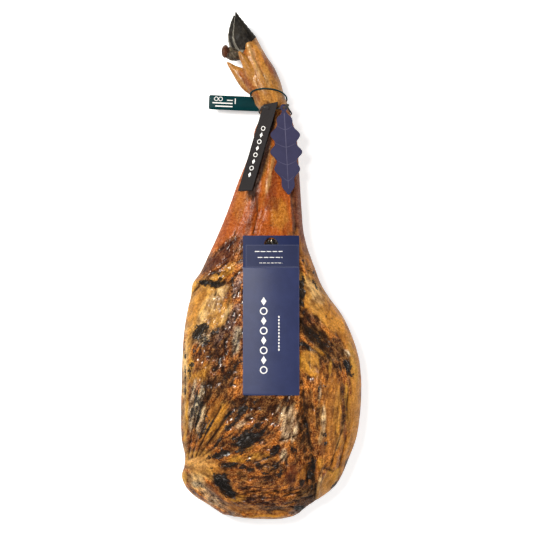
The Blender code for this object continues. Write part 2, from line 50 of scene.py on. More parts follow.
# The outline seen from above, as matched points on the left and right edges (left x, left y,
# right x, right y), from the butt to the coronet of the hoof.
OUTLINE = (
    (-45, -176.5, 20, -178), (-68, -170, 37, -171), (-88, -157, 51, -159), (-106, -145, 69.5, -147),
    (-118, -131, 88, -132), (-122.5, -118, 97, -117), (-119, -104, 103, -103), (-118, -92, 108, -90),
    (-122, -70, 115.5, -70), (-123.5, -36, 121.5, -38), (-122.5, 2, 123.5, 0), (-121.5, 42, 121, 40),
    (-119.5, 76, 111, 74), (-115, 106, 97, 103), (-109.5, 130, 77.5, 130), (-107, 146, 67.5, 147),
    (-98, 159, 62.5, 160), (-86, 184, 53.5, 184), (-73, 212, 45.3, 212), (-59, 246, 42, 246),
    (-45, 285, 39.5, 285), (-33, 315, 37.5, 315), (-25, 338, 36, 338), (-22.5, 356, 33, 356),
    (-16, 372, 28.5, 371), (-15, 383, 26, 381), (-21, 391, 23.5, 390), (-24, 400, 20, 399),
    (-31, 409, 17, 409), (-36, 419, 14, 420), (-38, 431, 9.5, 432), (-39, 442, 3, 445),
    (-40, 452, -6, 458), (-40.4, 456.5, -13, 470), (-40.5, 459.5, -20, 483.5),
)
# Heights along the ham, above the floor: (y, height).
CROWN = (
    (-178, 36), (-171, 50), (-158, 62), (-140, 72), (-110, 80), (-60, 87), (-8, 89.5), (60, 85.5),
    (120, 81), (180, 76.5), (212, 74.5), (250, 71), (300, 66), (340, 63), (356, 61), (371, 55.5),
    (383, 53), (398, 55), (420, 55), (440, 53), (455, 51.5), (472, 49),
)
RIM = ((-178, 26), (-150, 33), (-100, 40), (0, 43), (120, 43), (220, 42), (330, 40), (383, 36), (472, 34))
UNDERSIDE = (
    (-178, 19), (-171, 12), (-158, 6), (-135, 1), (-100, -2), (-40, -3.5), (40, -3.5), (100, -1.5),
    (150, 2.5), (200, 6.5), (250, 11), (300, 14), (350, 16), (383, 19), (420, 16), (455, 17), (472, 18),
)
CROWN_SIDE = ((-178, 0), (-60, 0), (60, 0.02), (140, 0.1), (212, 0.2), (290, 0.1), (383, 0), (472, 0))
FULLNESS = ((-178, 2.2), (-60, 2.5), (120, 2.5), (220, 2.2), (383, 2.0), (472, 2.2))

# Folds, furrows and swellings that the solid has too: (height, half width, points of its line).
RELIEF = {
    "black crevice": (-5, 5, ((-107, 137), (-89, 145), (-66, 146))),
    "fold over the crevice": (3.5, 6, ((-88, 154), (-62, 158))),
    "dried lean band": (2.5, 9, ((-90, 164), (-38, 202))),
    "hollow under the band": (-2.5, 6, ((-74, 158), (-36, 184))),
    "shin ridge": (4, 7, ((-1, 338), (-5, 262))),
    "shin hollow": (-3.5, 5.5, ((-11, 262), (-22, 212))),
    "channel beside the bone": (-4.5, 4.5, ((27, 318), (32, 216))),
    "cleft beside the flap": (-8, 7, ((43, 0), (46, -68), (54, -108), (56, -158))),
    "rind flap": (4, 6, ((66, -106), (67, -148))),
    "diagonal hollow": (-4.5, 9, ((44, 92), (108, 28))),
    "fat swelling": (4.5, 13, ((52, 48), (58, 30))),
    "right rim groove": (-3, 6, ((93, 84), (103, 0), (97, -84), (80, -128))),
    "left rim groove": (-2.5, 5, ((-113, 120), (-114, 14), (-109, -66))),
    "first fan furrow": (-3, 4.5, ((-113, -94), (-92, -20))),
    "second fan furrow": (-2.5, 4.5, ((-104, -92), (-74, -20))),
    "third fan furrow": (-2.5, 4.5, ((-96, -92), (-56, -28))),
    "lower crease": (-5.5, 6, ((-63, -108), (-59, -126), (-42, -139), (26, -138))),
    "butt lip groove": (-4, 5.5, ((-108, -118), (-77, -149), (-42, -163), (14, -164))),
    "glossy muscle": (4.5, 13, ((24, -22), (12, -64))),
    "lower muscle": (3, 20, ((-18, -100), (20, -112))),
    "hollow beside the card": (-3.5, 8, ((-50, 142), (-57, 84), (-50, 40))),
    "mould hollow": (-3, 10, ((-92, 76), (-102, 48))),
    "butt knob": (7, 7, ((33, -162), (36, -164))),
}
# Finer cuts, cracks and lips of the cut face: (height, half width, points of its line).
FINE_RELIEF = {
    "crack under the fold": (-3.0, 1.9, ((-100, 146), (-84, 147), (-72, 143), (-64, 147))),
    "second crevice": (-2.2, 1.6, ((-78, 146), (-74, 138), (-76, 130))),
    "lip crack": (-2.0, 1.5, ((-108, 132), (-98, 143))),
    "lip of the left edge": (1.6, 2.2, ((-112, 130), (-102, 144), (-94, 152))),
    "fan wrinkle 1": (-1.8, 1.4, ((-113, -92), (-108, -58), (-100, -22))),
    "fan wrinkle 2": (-1.7, 1.5, ((-108, -90), (-98, -56), (-84, -22))),
    "fan wrinkle 3": (-1.8, 1.4, ((-102, -88), (-88, -56), (-68, -20))),
    "fan wrinkle 4": (-1.7, 1.5, ((-98, -87), (-78, -60), (-56, -28))),
    "fan wrinkle 5": (-1.4, 1.3, ((-92, -88), (-70, -68), (-48, -52))),
    "pinch fold": (1.5, 2.2, ((-112, -98), (-100, -94), (-88, -86))),
    "muscle seam": (-1.5, 1.1, ((6, -66), (20, -63), (35, -58), (44, -50))),
    "knob crack": (-1.5, 1.0, ((-38, -32), (-33, -35), (-28, -33))),
    "upper butt line": (-1.5, 1.0, ((-42, -134), (-28, -131), (-13, -130))),
    "lower butt line": (-2.0, 1.2, ((-54, -143), (-20, -145), (14, -143), (40, -137))),
    "deep crease": (-3.2, 3.0, ((-70, -116), (-64, -130), (-54, -141))),
    "cleft edge": (-2.6, 2.0, ((46, -40), (53, -74), (57, -104), (60, -136), (61, -150))),
    "flap edge": (2.4, 1.8, ((69, -112), (65, -128), (62, -148))),
    "flap hollow": (-2.0, 2.4, ((72, -104), (82, -108))),
    "flap notch": (-2.6, 2.2, ((83, -136), (90, -126))),
    "panel wrinkle 1": (-1.0, 1.2, ((96, -52), (89, -76), (82, -96))),
    "panel wrinkle 2": (-1.1, 1.2, ((102, -60), (97, -84), (92, -104))),
    "panel wrinkle 3": (-0.8, 1.1, ((86, -84), (80, -104))),
    "panel wrinkle 4": (-1.2, 1.0, ((106, 10), (103, -16), (104, -40))),
    "panel ridge": (1.3, 1.6, ((99, -54), (92, -80), (86, -100))),
    "band crest": (1.8, 1.8, ((44, 74), (62, 60), (76, 46), (96, 24))),
    "band edge": (-1.8, 1.5, ((40, 70), (60, 55), (74, 41))),
    "fat edge": (-1.6, 1.4, ((42, 58), (56, 56), (66, 44), (66, 28))),
    "small white fold": (2.6, 1.8, ((102, 55), (106, 48))),
    "vein 1": (-0.8, 1.0, ((68, 132), (81, 116), (75, 101))),
    "vein 2": (-0.7, 0.9, ((60, 122), (72, 106), (84, 92))),
    "vein 3": (-0.7, 0.9, ((81, 100), (96, 92))),
    "butt lip": (2.0, 2.4, ((-50, -171), (-26, -171), (4, -172), (22, -170))),
    "left ridge 1": (1.6, 1.8, ((-60, 112), (-68, 92), (-72, 78))),
    "left ridge 2": (1.3, 1.6, ((-42, 148), (-50, 126), (-54, 108))),
    "lean fold 1": (1.4, 1.8, ((-62, 34), (-54, 14), (-46, 18))),
    "lean fold 2": (-1.6, 1.5, ((-66, 30), (-58, 8), (-46, 10))),
    "shin line": (-1.2, 1.2, ((-20, 268), (-18, 240), (-24, 214))),
    "channel edge": (1.5, 1.6, ((22, 300), (26, 250), (28, 218))),
    "toe fold": (-1.6, 1.6, ((-26, 462), (-20, 448), (-10, 430))),
    "toe swelling": (1.6, 4.0, ((-20, 470), (-12, 452))),
    "wrist fold": (-0.6, 1.5, ((-20, 388), (0, 386), (22, 384))),
}
HAM_RIBS = 380
HAM_ACROSS = 176
HAM_UNDER = 54

# Which way the fibres of the cut face run: (x, y, angle from +X in degrees, reach).
GRAIN = (
    (-14, 430, 113, 40), (5, 360, 92, 30), (0, 300, 88, 40), (-35, 270, 72, 26), (-50, 230, 66, 26),
    (38, 240, 94, 26), (-70, 180, 46, 20), (-75, 155, 8, 11), (-105, 140, 45, 10), (-85, 115, 62, 26),
    (-50, 110, 75, 18), (-95, 70, 52, 18), (-70, 55, 72, 22), (-110, 40, 85, 14), (-102, -20, 78, 16),
    (-78, -30, 64, 18), (-50, -45, 46, 18), (-25, -60, 36, 20), (-55, -85, 18, 14), (-105, -90, 42, 12),
    (-95, -125, -40, 18), (-65, -155, -32, 16), (-20, -110, 12, 22), (-10, -145, 3, 20), (0, -172, 0, 14),
    (15, -40, 62, 16), (38, -45, -60, 10), (28, -110, 82, 14), (50, -80, -80, 12), (58, -130, 90, 12),
    (82, -30, 91, 22), (105, 0, 93, 20), (115, -60, 80, 15), (90, -90, 74, 16), (75, -130, 62, 12),
    (48, -145, 6, 14), (50, 175, -64, 22), (72, 108, -50, 24), (76, 60, -42, 20), (52, 40, -62, 14),
    (108, 60, -65, 18), (75, 15, 86, 16),
)
GRAIN_CELL = 0.8
GRAIN_CORNER = (-150.0, -200.0)
GRAIN_SPAN = (300.0, 700.0)

# Finishes of the meat: colour as seen on a screen (0 to 255), how rugged, and how oily.
TONES = {
    "shank skin": ((181, 85, 12), 0.1, 0.27),
    "foot skin": ((190, 128, 52), 0.22, 0.9),
    # foot crease: painted shade in the foot's creases
    "foot crease": ((112, 52, 22), 0.4, 0.6),
    # painted tag shadow: the strip tag's cast shadow, painted on the shank skin
    "painted tag shadow": ((46, 20, 8), 0.14, 0.05),
    "red skin": ((140, 56, 14), 0.14, 0.4),
    # yellow skin, and also the wide edge of a painted highlight on the shank's ridge
    "yellow skin and painted highlight": ((200, 126, 36), 0.12, 0.35),
    "rosy skin": ((130, 64, 38), 0.14, 0.3),
    # brown skin, and also a painted shadow below the strip tag's lower end
    "brown skin and painted shadow": ((104, 50, 18), 0.2, 0.3),
    "rose brown": ((104, 54, 38), 0.45, 0.4),
    "red band": ((90, 36, 18), 0.5, 0.3),
    "dark red": ((108, 46, 20), 0.45, 0.4),
    "golden fat": ((210, 153, 72), 0.38, 0.5),
    # pale fat, and also painted highlights on the shank's ridge, on the foot and beside the right panel
    "pale fat and painted highlight": ((232, 192, 132), 0.42, 0.5),
    "amber fat": ((222, 148, 50), 0.22, 0.55),
    "ochre": ((190, 130, 38), 0.45, 0.5),
    "orange lean": ((170, 94, 30), 0.8, 0.6),
    "red lean": ((118, 55, 22), 0.85, 0.55),
    "dark lean": ((78, 38, 14), 0.9, 0.35),
    # dark crust, and also painted shade seen through the card's hole
    "dark crust and painted shade": ((50, 27, 10), 0.85, 0.25),
    "olive crust": ((96, 58, 20), 0.6, 0.25),
    "umber": ((82, 38, 10), 0.85, 0.1),
    "violet grey": ((122, 90, 92), 0.8, 0.6),
    # grey mould bloom, and also painted grey glints
    "grey bloom and painted glint": ((162, 148, 134), 0.8, 0.4),
    "tan": ((186, 116, 42), 0.38, 0.5),
    "straw rind": ((226, 166, 58), 0.2, 0.35),
    "gold rind": ((214, 142, 46), 0.14, 0.5),
    # painted highlight: pale cream streaks that stand in for glints and gloss, on a very oily finish
    "painted highlight": ((236, 206, 170), 0.65, 1.0),
    "rind": ((182, 116, 46), 0.14, 0.35),
    "heel": ((86, 79, 70), 0.6, 0.2),
    "heel bulb": ((86, 44, 24), 0.3, 0.3),
}
# Where each finish shows, later ones over earlier ones: the finish, then its patches, each
# (x, y, half length, half width, angle, strength).
PATCHES = (
    # The second patch here is a painted shadow below the strip tag's lower end.
    ("brown skin and painted shadow", (-4, 362, 26, 8, 94, 0.8), (-20, 262, 18, 5, 72, 0.9)),
    # Painted shade in the foot's creases.
    ("foot crease", (-33, 446, 22, 3, 113, 0.8), (-8, 436, 26, 3, 118, 0.6), (-24, 424, 20, 4, 125, 0.6),
     (-46, 434, 16, 4, 140, 0.6), (-36, 478, 10, 4, 50, 0.8), (8, 412, 26, 4, 110, 0.5),
     (-14, 398, 16, 5, 20, 0.5)),
    ("brown skin and painted shadow", (-26, 236, 28, 4, 72, 0.7)),
    ("foot skin", (-12, 425, 60, 40, 110, 1)),
    ("red skin", (5, 436, 12, 6, 120, 0.5), (-40, 432, 22, 5, 130, 0.5)),
    ("yellow skin and painted highlight", (-18, 452, 14, 9, 120, 0.5), (9, 241, 20, 13, 80, 0.8)),
    ("red skin", (1, 272, 34, 9, 82, 0.7), (-24, 245, 26, 5, 76, 0.6), (18, 300, 34, 6, 92, 0.5)),
    ("dark red", (30, 262, 52, 4.5, 93, 0.9)),
    ("rose brown", (39, 245, 52, 4.5, 94, 0.9)),
    ("yellow skin and painted highlight", (-38, 262, 30, 8, 70, 0.4)),
    ("red lean", (-72, 180, 36, 15, 44, 0.9)),
    ("dark red", (-86, 170, 16, 7, 40, 0.6)),
    ("dark lean", (-50, 186, 20, 5, 36, 0.8)),
    ("orange lean", (-44, 170, 26, 14, 60, 0.9)),
    ("ochre", (-74, 156, 16, 6, 6, 1), (-57, 165, 12, 7, 30, 0.8)),
    ("dark crust and painted shade", (-82, 146, 18, 5.5, -6, 1)),
    ("straw rind", (-106, 142, 12, 5, 50, 1)),
    ("dark crust and painted shade", (-101, 140, 13, 2.2, 46, 0.9)),
    ("golden fat", (-90, 112, 48, 27, 82, 1)),
    ("pale fat and painted highlight", (-72, 126, 16, 7, 66, 0.8), (-93, 100, 12, 6, 66, 0.7)),
    ("amber fat", (-98, 124, 16, 7, 60, 0.6), (-108, 98, 18, 6, 76, 0.7)),
    ("golden fat", (-66, 100, 26, 10, 70, 0.8)),
    ("red lean", (-42, 104, 40, 7, 86, 0.9)),
    ("orange lean", (-43, 128, 16, 5, 80, 0.7)),
    ("violet grey", (-46, 142, 16, 5.5, 78, 0.9), (-52, 100, 16, 6, 72, 0.9), (-55, 84, 10, 5, 70, 0.8)),
    ("pale fat and painted highlight", (-60, 106, 16, 3, 58, 0.8)),
    ("red lean", (-76, 40, 44, 32, 75, 1)),
    ("dark lean", (-74, 64, 24, 18, 60, 0.9)),
    ("orange lean", (-92, 46, 18, 8, 66, 0.9), (-52, 48, 22, 8, 74, 0.7)),
    ("violet grey", (-68, 78, 14, 5, 60, 0.6)),
    ("grey bloom and painted glint", (-47, 70, 18, 6, 80, 0.9), (-92, 74, 20, 7, 48, 0.5)),
    ("golden fat", (-112, 62, 34, 8, 84, 0.9)),
    ("straw rind", (-110, 30, 16, 5, 80, 0.8)),
    ("ochre", (-96, 22, 20, 8, 40, 0.7)),
    ("dark lean", (-72, 10, 26, 18, 60, 0.9)),
    ("orange lean", (-52, 6, 18, 10, 60, 0.6)),
    ("dark crust and painted shade", (-60, 22, 10, 5, 40, 0.6), (-98, -24, 34, 13, 74, 0.8)),
    ("violet grey", (-104, -4, 20, 6, 76, 0.5)),
    ("tan", (-80, -34, 34, 9, 64, 0.9)),
    ("orange lean", (-64, -44, 34, 9, 56, 0.8)),
    ("red lean", (-48, -20, 26, 10, 46, 0.9)),
    ("tan", (-68, -30, 26, 3.5, 60, 0.7)),
    ("straw rind", (-116, -34, 50, 3.5, 88, 0.8)),
    ("rose brown", (-112, -60, 26, 3.5, 84, 0.5)),
    ("golden fat", (-102, -92, 20, 10, 20, 1), (-88, -106, 20, 12, -30, 0.9)),
    ("pale fat and painted highlight", (-100, -98, 12, 5, -20, 0.6)),
    ("tan", (-72, -104, 20, 10, -40, 0.8)),
    ("dark crust and painted shade", (-10, -16, 58, 10, 0, 0.9), (2, -32, 30, 8, 10, 0.7)),
    ("red lean", (0, -40, 40, 16, 20, 0.8)),
    ("orange lean", (-2, -54, 26, 16, 30, 1), (-26, -30, 10, 6, 10, 0.9)),
    # Painted highlights.
    ("painted highlight", (-30, -31, 5, 2.5, 20, 0.6), (-42, -44, 9, 4, 40, 0.6)),
    ("orange lean", (-48, -60, 14, 7, 30, 0.9)),
    ("dark crust and painted shade", (-32, -62, 24, 13, 36, 0.8)),
    # Painted highlights.
    ("painted highlight", (26, -42, 24, 10, 68, 0.45)),
    ("orange lean", (38, -40, 20, 4, -64, 0.7)),
    ("ochre", (-46, -92, 11, 8, 0, 0.9), (-12, -90, 20, 7, -6, 0.9)),
    ("orange lean", (-20, -112, 34, 18, 4, 1)),
    ("red lean", (-20, -122, 30, 8, 6, 0.7)),
    ("orange lean", (-30, -118, 9, 8, 0, 0.6)),
    ("dark lean", (3, -100, 14, 7, 10, 0.8)),
    # Painted grey highlight.
    ("grey bloom and painted glint", (17, -84, 12, 5, 82, 0.8)),
    ("orange lean", (34, -84, 14, 8, 60, 0.9)),
    ("dark red", (28, -113, 17, 10, 84, 0.9)),
    ("tan", (42, -112, 12, 7, 60, 0.9)),
    ("dark crust and painted shade", (50, -66, 40, 5, -80, 0.6), (57, -118, 40, 4.5, 92, 0.6)),
    ("orange lean", (44, -20, 16, 8, 70, 0.7)),
    ("olive crust", (52, -14, 20, 6, 88, 0.6)),
    ("pale fat and painted highlight", (-98, -124, 14, 11, -50, 0.8)),
    ("grey bloom and painted glint", (-99, -127, 7, 5, 0, 0.8)),
    # Painted highlights.
    ("painted highlight", (-84, -142, 20, 9, -42, 0.45)),
    ("rose brown", (-78, -136, 22, 6, -42, 0.6)),
    # Painted highlights.
    ("painted highlight", (-64, -158, 24, 7, -32, 0.45)),
    ("tan", (-60, -146, 14, 8, -60, 0.6)),
    ("dark crust and painted shade", (-63, -130, 20, 8, -52, 1)),
    ("red lean", (-10, -150, 40, 8, 2, 1)),
    ("ochre", (-45, -146, 12, 4, 10, 0.9)),
    ("orange lean", (-18, -134, 26, 6, 4, 0.8)),
    ("tan", (-36, -161, 24, 7, -4, 0.9)),
    ("dark lean", (6, -160, 22, 5, 4, 0.7)),
    ("olive crust", (46, -144, 22, 14, 4, 1)),
    ("tan", (20, -164, 14, 5, 6, 0.9)),
    ("dark crust and painted shade", (40, -160, 8, 5, 0, 0.9)),
    ("olive crust", (43, -167, 8, 5, 0, 0.8)),
    ("tan", (52, 176, 50, 11, -62, 0.9)),
    ("olive crust", (56, 156, 34, 3.5, -60, 0.6)),
    ("rose brown", (60, 168, 34, 4, -63, 0.5)),
    ("dark crust and painted shade", (42, 132, 20, 4.5, 88, 1)),
    ("amber fat", (72, 108, 42, 18, -50, 1), (54, 122, 22, 8, -64, 1)),
    ("ochre", (90, 92, 24, 8, -52, 0.6)),
    ("red lean", (60, 93, 18, 9, -42, 0.8)),
    ("orange lean", (74, 88, 12, 6, -40, 0.6), (94, 66, 22, 10, -50, 0.6)),
    ("olive crust", (74, 62, 50, 13, -42, 1)),
    ("dark crust and painted shade", (54, 76, 18, 8, -40, 0.6), (103, 33, 15, 8, -58, 1)),
    ("red lean", (84, 56, 24, 5, -45, 0.5)),
    ("pale fat and painted highlight", (104, 51, 4.5, 2.6, -60, 1)),
    ("ochre", (52, 40, 17, 14, -60, 1)),
    ("dark crust and painted shade", (46, 62, 10, 4, -30, 0.8)),
    ("red lean", (80, 28, 20, 12, 80, 0.9)),
    ("dark lean", (68, 44, 20, 4, -46, 0.7)),
    ("orange lean", (70, 20, 20, 6, 84, 0.8)),
    ("tan", (82, -30, 58, 20, 92, 1)),
    # Painted highlight: a strip of glints beside the panel.
    ("pale fat and painted highlight", (71, -30, 26, 3.2, 90, 0.8), (68, -58, 12, 3, 80, 0.8)),
    ("rose brown", (69, -78, 24, 4, 84, 0.5)),
    ("red lean", (98, -26, 32, 4.5, 96, 0.7)),
    ("dark lean", (99, -6, 16, 3, 92, 0.6)),
    ("tan", (90, -84, 30, 12, 74, 0.8), (80, -104, 14, 8, 70, 0.7)),
    ("ochre", (66, -98, 14, 5, 80, 0.6)),
    ("dark red", (62, -108, 10, 4, 80, 0.5)),
    ("gold rind", (115, -10, 110, 8, 90, 1), (104, -80, 40, 7, 74, 0.8), (106, 62, 40, 6, -68, 0.8)),
    ("straw rind", (76, -128, 26, 10, 62, 1)),
    ("pale fat and painted highlight", (66, -130, 22, 2.6, 80, 0.8)),
    ("dark crust and painted shade", (87, -131, 7, 3, 50, 0.9), (103, -106, 6, 2.4, 70, 0.8)),
    ("gold rind", (-122, -124, 14, 5, 90, 1), (-90, -158, 40, 5, -38, 0.9), (-12, -176, 50, 5, 0, 1)),
    # Painted shadow of the strip tag on the shank skin.
    ("painted tag shadow", (-5, 352, 36, 6, 86, 0.9), (-9.5, 317, 42, 7, 74, 1)),
    # Painted highlights.
    ("painted highlight", (-104, -30, 26, 2.2, 78, 0.9), (-98, -12, 16, 2.6, 70, 0.9),
     (-94, -44, 20, 1.8, 72, 0.7)),
    # Painted grey glints on the black streaks.
    ("grey bloom and painted glint", (-102, -14, 12, 4, 76, 0.8)),
    # Painted highlights.
    ("painted highlight", (22, -26, 12, 6, 64, 0.5), (20, -46, 14, 7, 74, 0.5), (32, -56, 12, 3, 70, 0.7)),
    ("dark red", (73, 128, 14, 2, -62, 0.8), (78, 110, 12, 1.8, 76, 0.6), (63, 118, 14, 1.8, -58, 0.6),
     (88, 97, 10, 1.8, -34, 0.7)),
    ("red lean", (54, 96, 9, 6, 20, 0.9)),
    ("dark crust and painted shade", (80, 42, 15, 2.2, -46, 0.9)),
    ("ochre", (68, 54, 9, 2.6, -24, 0.9)),
    ("orange lean", (50, 62, 6, 5, 0, 0.9)),
    ("dark crust and painted shade", (52, 57, 9, 1.8, -16, 0.9)),
    ("straw rind", (80, 32, 10, 2.2, 86, 0.7)),
    ("dark red", (100, -56, 16, 1.6, 97, 0.8), (96, -6, 22, 1.8, 93, 0.7), (84, -10, 30, 1.6, 92, 0.5),
     (76, -20, 26, 1.6, 90, 0.5)),
    ("pale fat and painted highlight", (93, -64, 18, 1.8, 74, 0.6)),
    ("straw rind", (104, -24, 40, 3, 92, 0.5)),
    ("ochre", (90, -34, 40, 6, 91, 0.6)),
    ("dark lean", (64, -20, 30, 3, 88, 0.7)),
    ("tan", (98, 74, 18, 5, -52, 0.7)),
    ("straw rind", (112, 40, 26, 4, -78, 0.6)),
    ("dark lean", (40, -150, 22, 9, 0, 0.8)),
    ("dark crust and painted shade", (-40, -116, 12, 5, -60, 0.5)),
    ("orange lean", (2, -92, 12, 5, 0, 0.7)),
    ("ochre", (-34, -78, 12, 4, 20, 0.5)),
    ("golden fat", (-102, -104, 12, 7, -20, 0.8)),
    ("straw rind", (-119, -123, 12, 3, 84, 1)),
    ("red band", (-70, 178, 34, 12, 44, 0.95)),
    ("dark lean", (-88, 68, 22, 9, 48, 0.3)),
    ("golden fat", (-117, 20, 60, 4, 88, 0.8)),
    ("ochre", (-74, -42, 34, 9, 60, 0.6)),
    ("golden fat", (-66, -52, 26, 2, 52, 0.4), (-82, -38, 30, 2, 66, 0.4)),
    ("dark lean", (-12, -15, 42, 6, 0, 0.8)),
    ("orange lean", (60, -106, 16, 3, 90, 0.5)),
    ("amber fat", (78, 104, 20, 9, -48, 0.8)),
    ("dark crust and painted shade", (57, 82, 24, 8, -43, 0.35)),
    ("dark lean", (84, 54, 22, 8, -46, 0.3)),
    ("dark crust and painted shade", (-97, 78, 16, 8, 46, 0.45)),
    # Painted highlights.
    ("painted highlight", (-94, 66, 9, 1.6, 52, 0.7), (-100, 60, 8, 1.4, 60, 0.7), (24, -36, 22, 8, 66, 0.35)),
    ("orange lean", (56, -80, 14, 3, -82, 0.6), (58, -108, 12, 3, 92, 0.6)),
    ("pale fat and painted highlight", (-76, 130, 22, 5, 40, 0.5)),
    ("red lean", (-60, 62, 18, 4, 62, 0.6)),
    ("dark red", (30, 250, 54, 4, 93, 0.7)),
    ("brown skin and painted shadow", (42, 266, 60, 5, 94, 0.6)),
    ("pale fat and painted highlight", (-117, 34, 40, 3.5, 88, 0.8)),
    # Painted grey glints on the black streaks.
    ("grey bloom and painted glint", (-101, -20, 26, 5, 74, 0.85)),
    ("pale fat and painted highlight", (-94, -98, 16, 8, 0, 0.5)),
    ("dark crust and painted shade", (-10, -15, 46, 8, 0, 0.5)),
    # Painted highlight along the shank's ridge: a pale line in a wider yellow edge.
    ("pale fat and painted highlight", (-1, 297, 40, 2.4, 78, 0.5)),
    ("yellow skin and painted highlight", (-4, 300, 46, 6, 78, 0.4)),
    # Painted highlights on the foot.
    ("pale fat and painted highlight", (-27, 462, 12, 3, 112, 0.5), (-20, 444, 14, 2.4, 114, 0.5), (-44, 428, 14, 2, 128, 0.5),
     (-4, 420, 12, 3, 112, 0.4)),
    ("red skin", (-2, 446, 16, 4, 122, 0.6), (-28, 414, 18, 4, 128, 0.6)),
    ("grey bloom and painted glint", (-88, 72, 10, 3, 44, 0.5)),
    # Painted shade seen through the card's hole.
    ("dark crust and painted shade", (1, 200, 14, 8, 0, 1)),
    # Painted highlights.
    ("painted highlight", (-106, -22, 22, 2.2, 78, 1), (-101, -20, 22, 1.8, 75, 1), (-95, -36, 20, 1.8, 72, 0.9),
     (14, -30, 16, 2, 70, 0.9), (20, -36, 18, 2, 66, 0.9), (27, -40, 18, 2.2, 70, 0.9),
     (33, -48, 16, 1.8, 68, 0.9), (24, -56, 12, 2, 74, 0.8), (10, -20, 10, 1.8, 64, 0.8)),
    ("golden fat", (62, 124, 38, 12, -60, 0.8)),
    ("amber fat", (84, 99, 24, 11, -50, 0.8)),
    ("pale fat and painted highlight", (60, 134, 18, 6, -60, 0.6)),
    ("golden fat", (54, 46, 14, 10, -60, 0.5)),
    ("orange lean", (52, -90, 20, 3.4, -84, 0.6)),
    ("red lean", (60, -74, 16, 3, -82, 0.6)),
    ("red skin", (39.5, 262, 58, 3, 94, 0.75)),
    ("umber", (-8, -14, 42, 7, 0, 0.9), (42, -152, 20, 8, 0, 0.6)),
    ("pale fat and painted highlight", (-117, 20, 60, 3.5, 88, 0.5)),
    ("amber fat", (-94, -98, 18, 9, -5, 0.5)),
    ("red lean", (-2, -50, 26, 12, 30, 0.45)),
    ("gold rind", (76, -128, 24, 8, 62, 0.5)),
    ("pale fat and painted highlight", (65, -131, 22, 2.2, 80, 0.9)),
    # Painted highlights.
    ("painted highlight", (71, -34, 26, 2.2, 90, 0.6), (103.5, 51, 5, 3, -60, 1.3)),
    # Painted shadow of the strip tag, laid again over the later patches.
    ("painted tag shadow", (-12, 319, 50, 6.5, 74, 1)),
    ("rosy skin", (40, 250, 60, 5.5, 94, 0.8)),
    ("amber fat", (50, 41, 17, 13, -60, 0.3), (76, -128, 20, 7, 62, 0.75)),
    ("dark red", (27, 196, 14, 4, 96, 0.5)),
    ("umber", (-18, -16, 30, 6, 4, 0.8)),
    # Painted grey glints on the black streaks.
    ("grey bloom and painted glint", (-100, -16, 22, 3, 76, 0.8)),
    # Painted highlights.
    ("painted highlight", (-107, -8, 22, 2.6, 78, 1)),
    ("grey bloom and painted glint", (-46, 66, 16, 4, 82, 0.6)),
    # Painted highlights.
    ("painted highlight", (66, 0, 14, 2, 86, 0.6)),
    ("tan", (82, -4, 26, 8, 88, 0.5)),
    ("orange lean", (44, 14, 12, 7, 80, 0.7)),
)
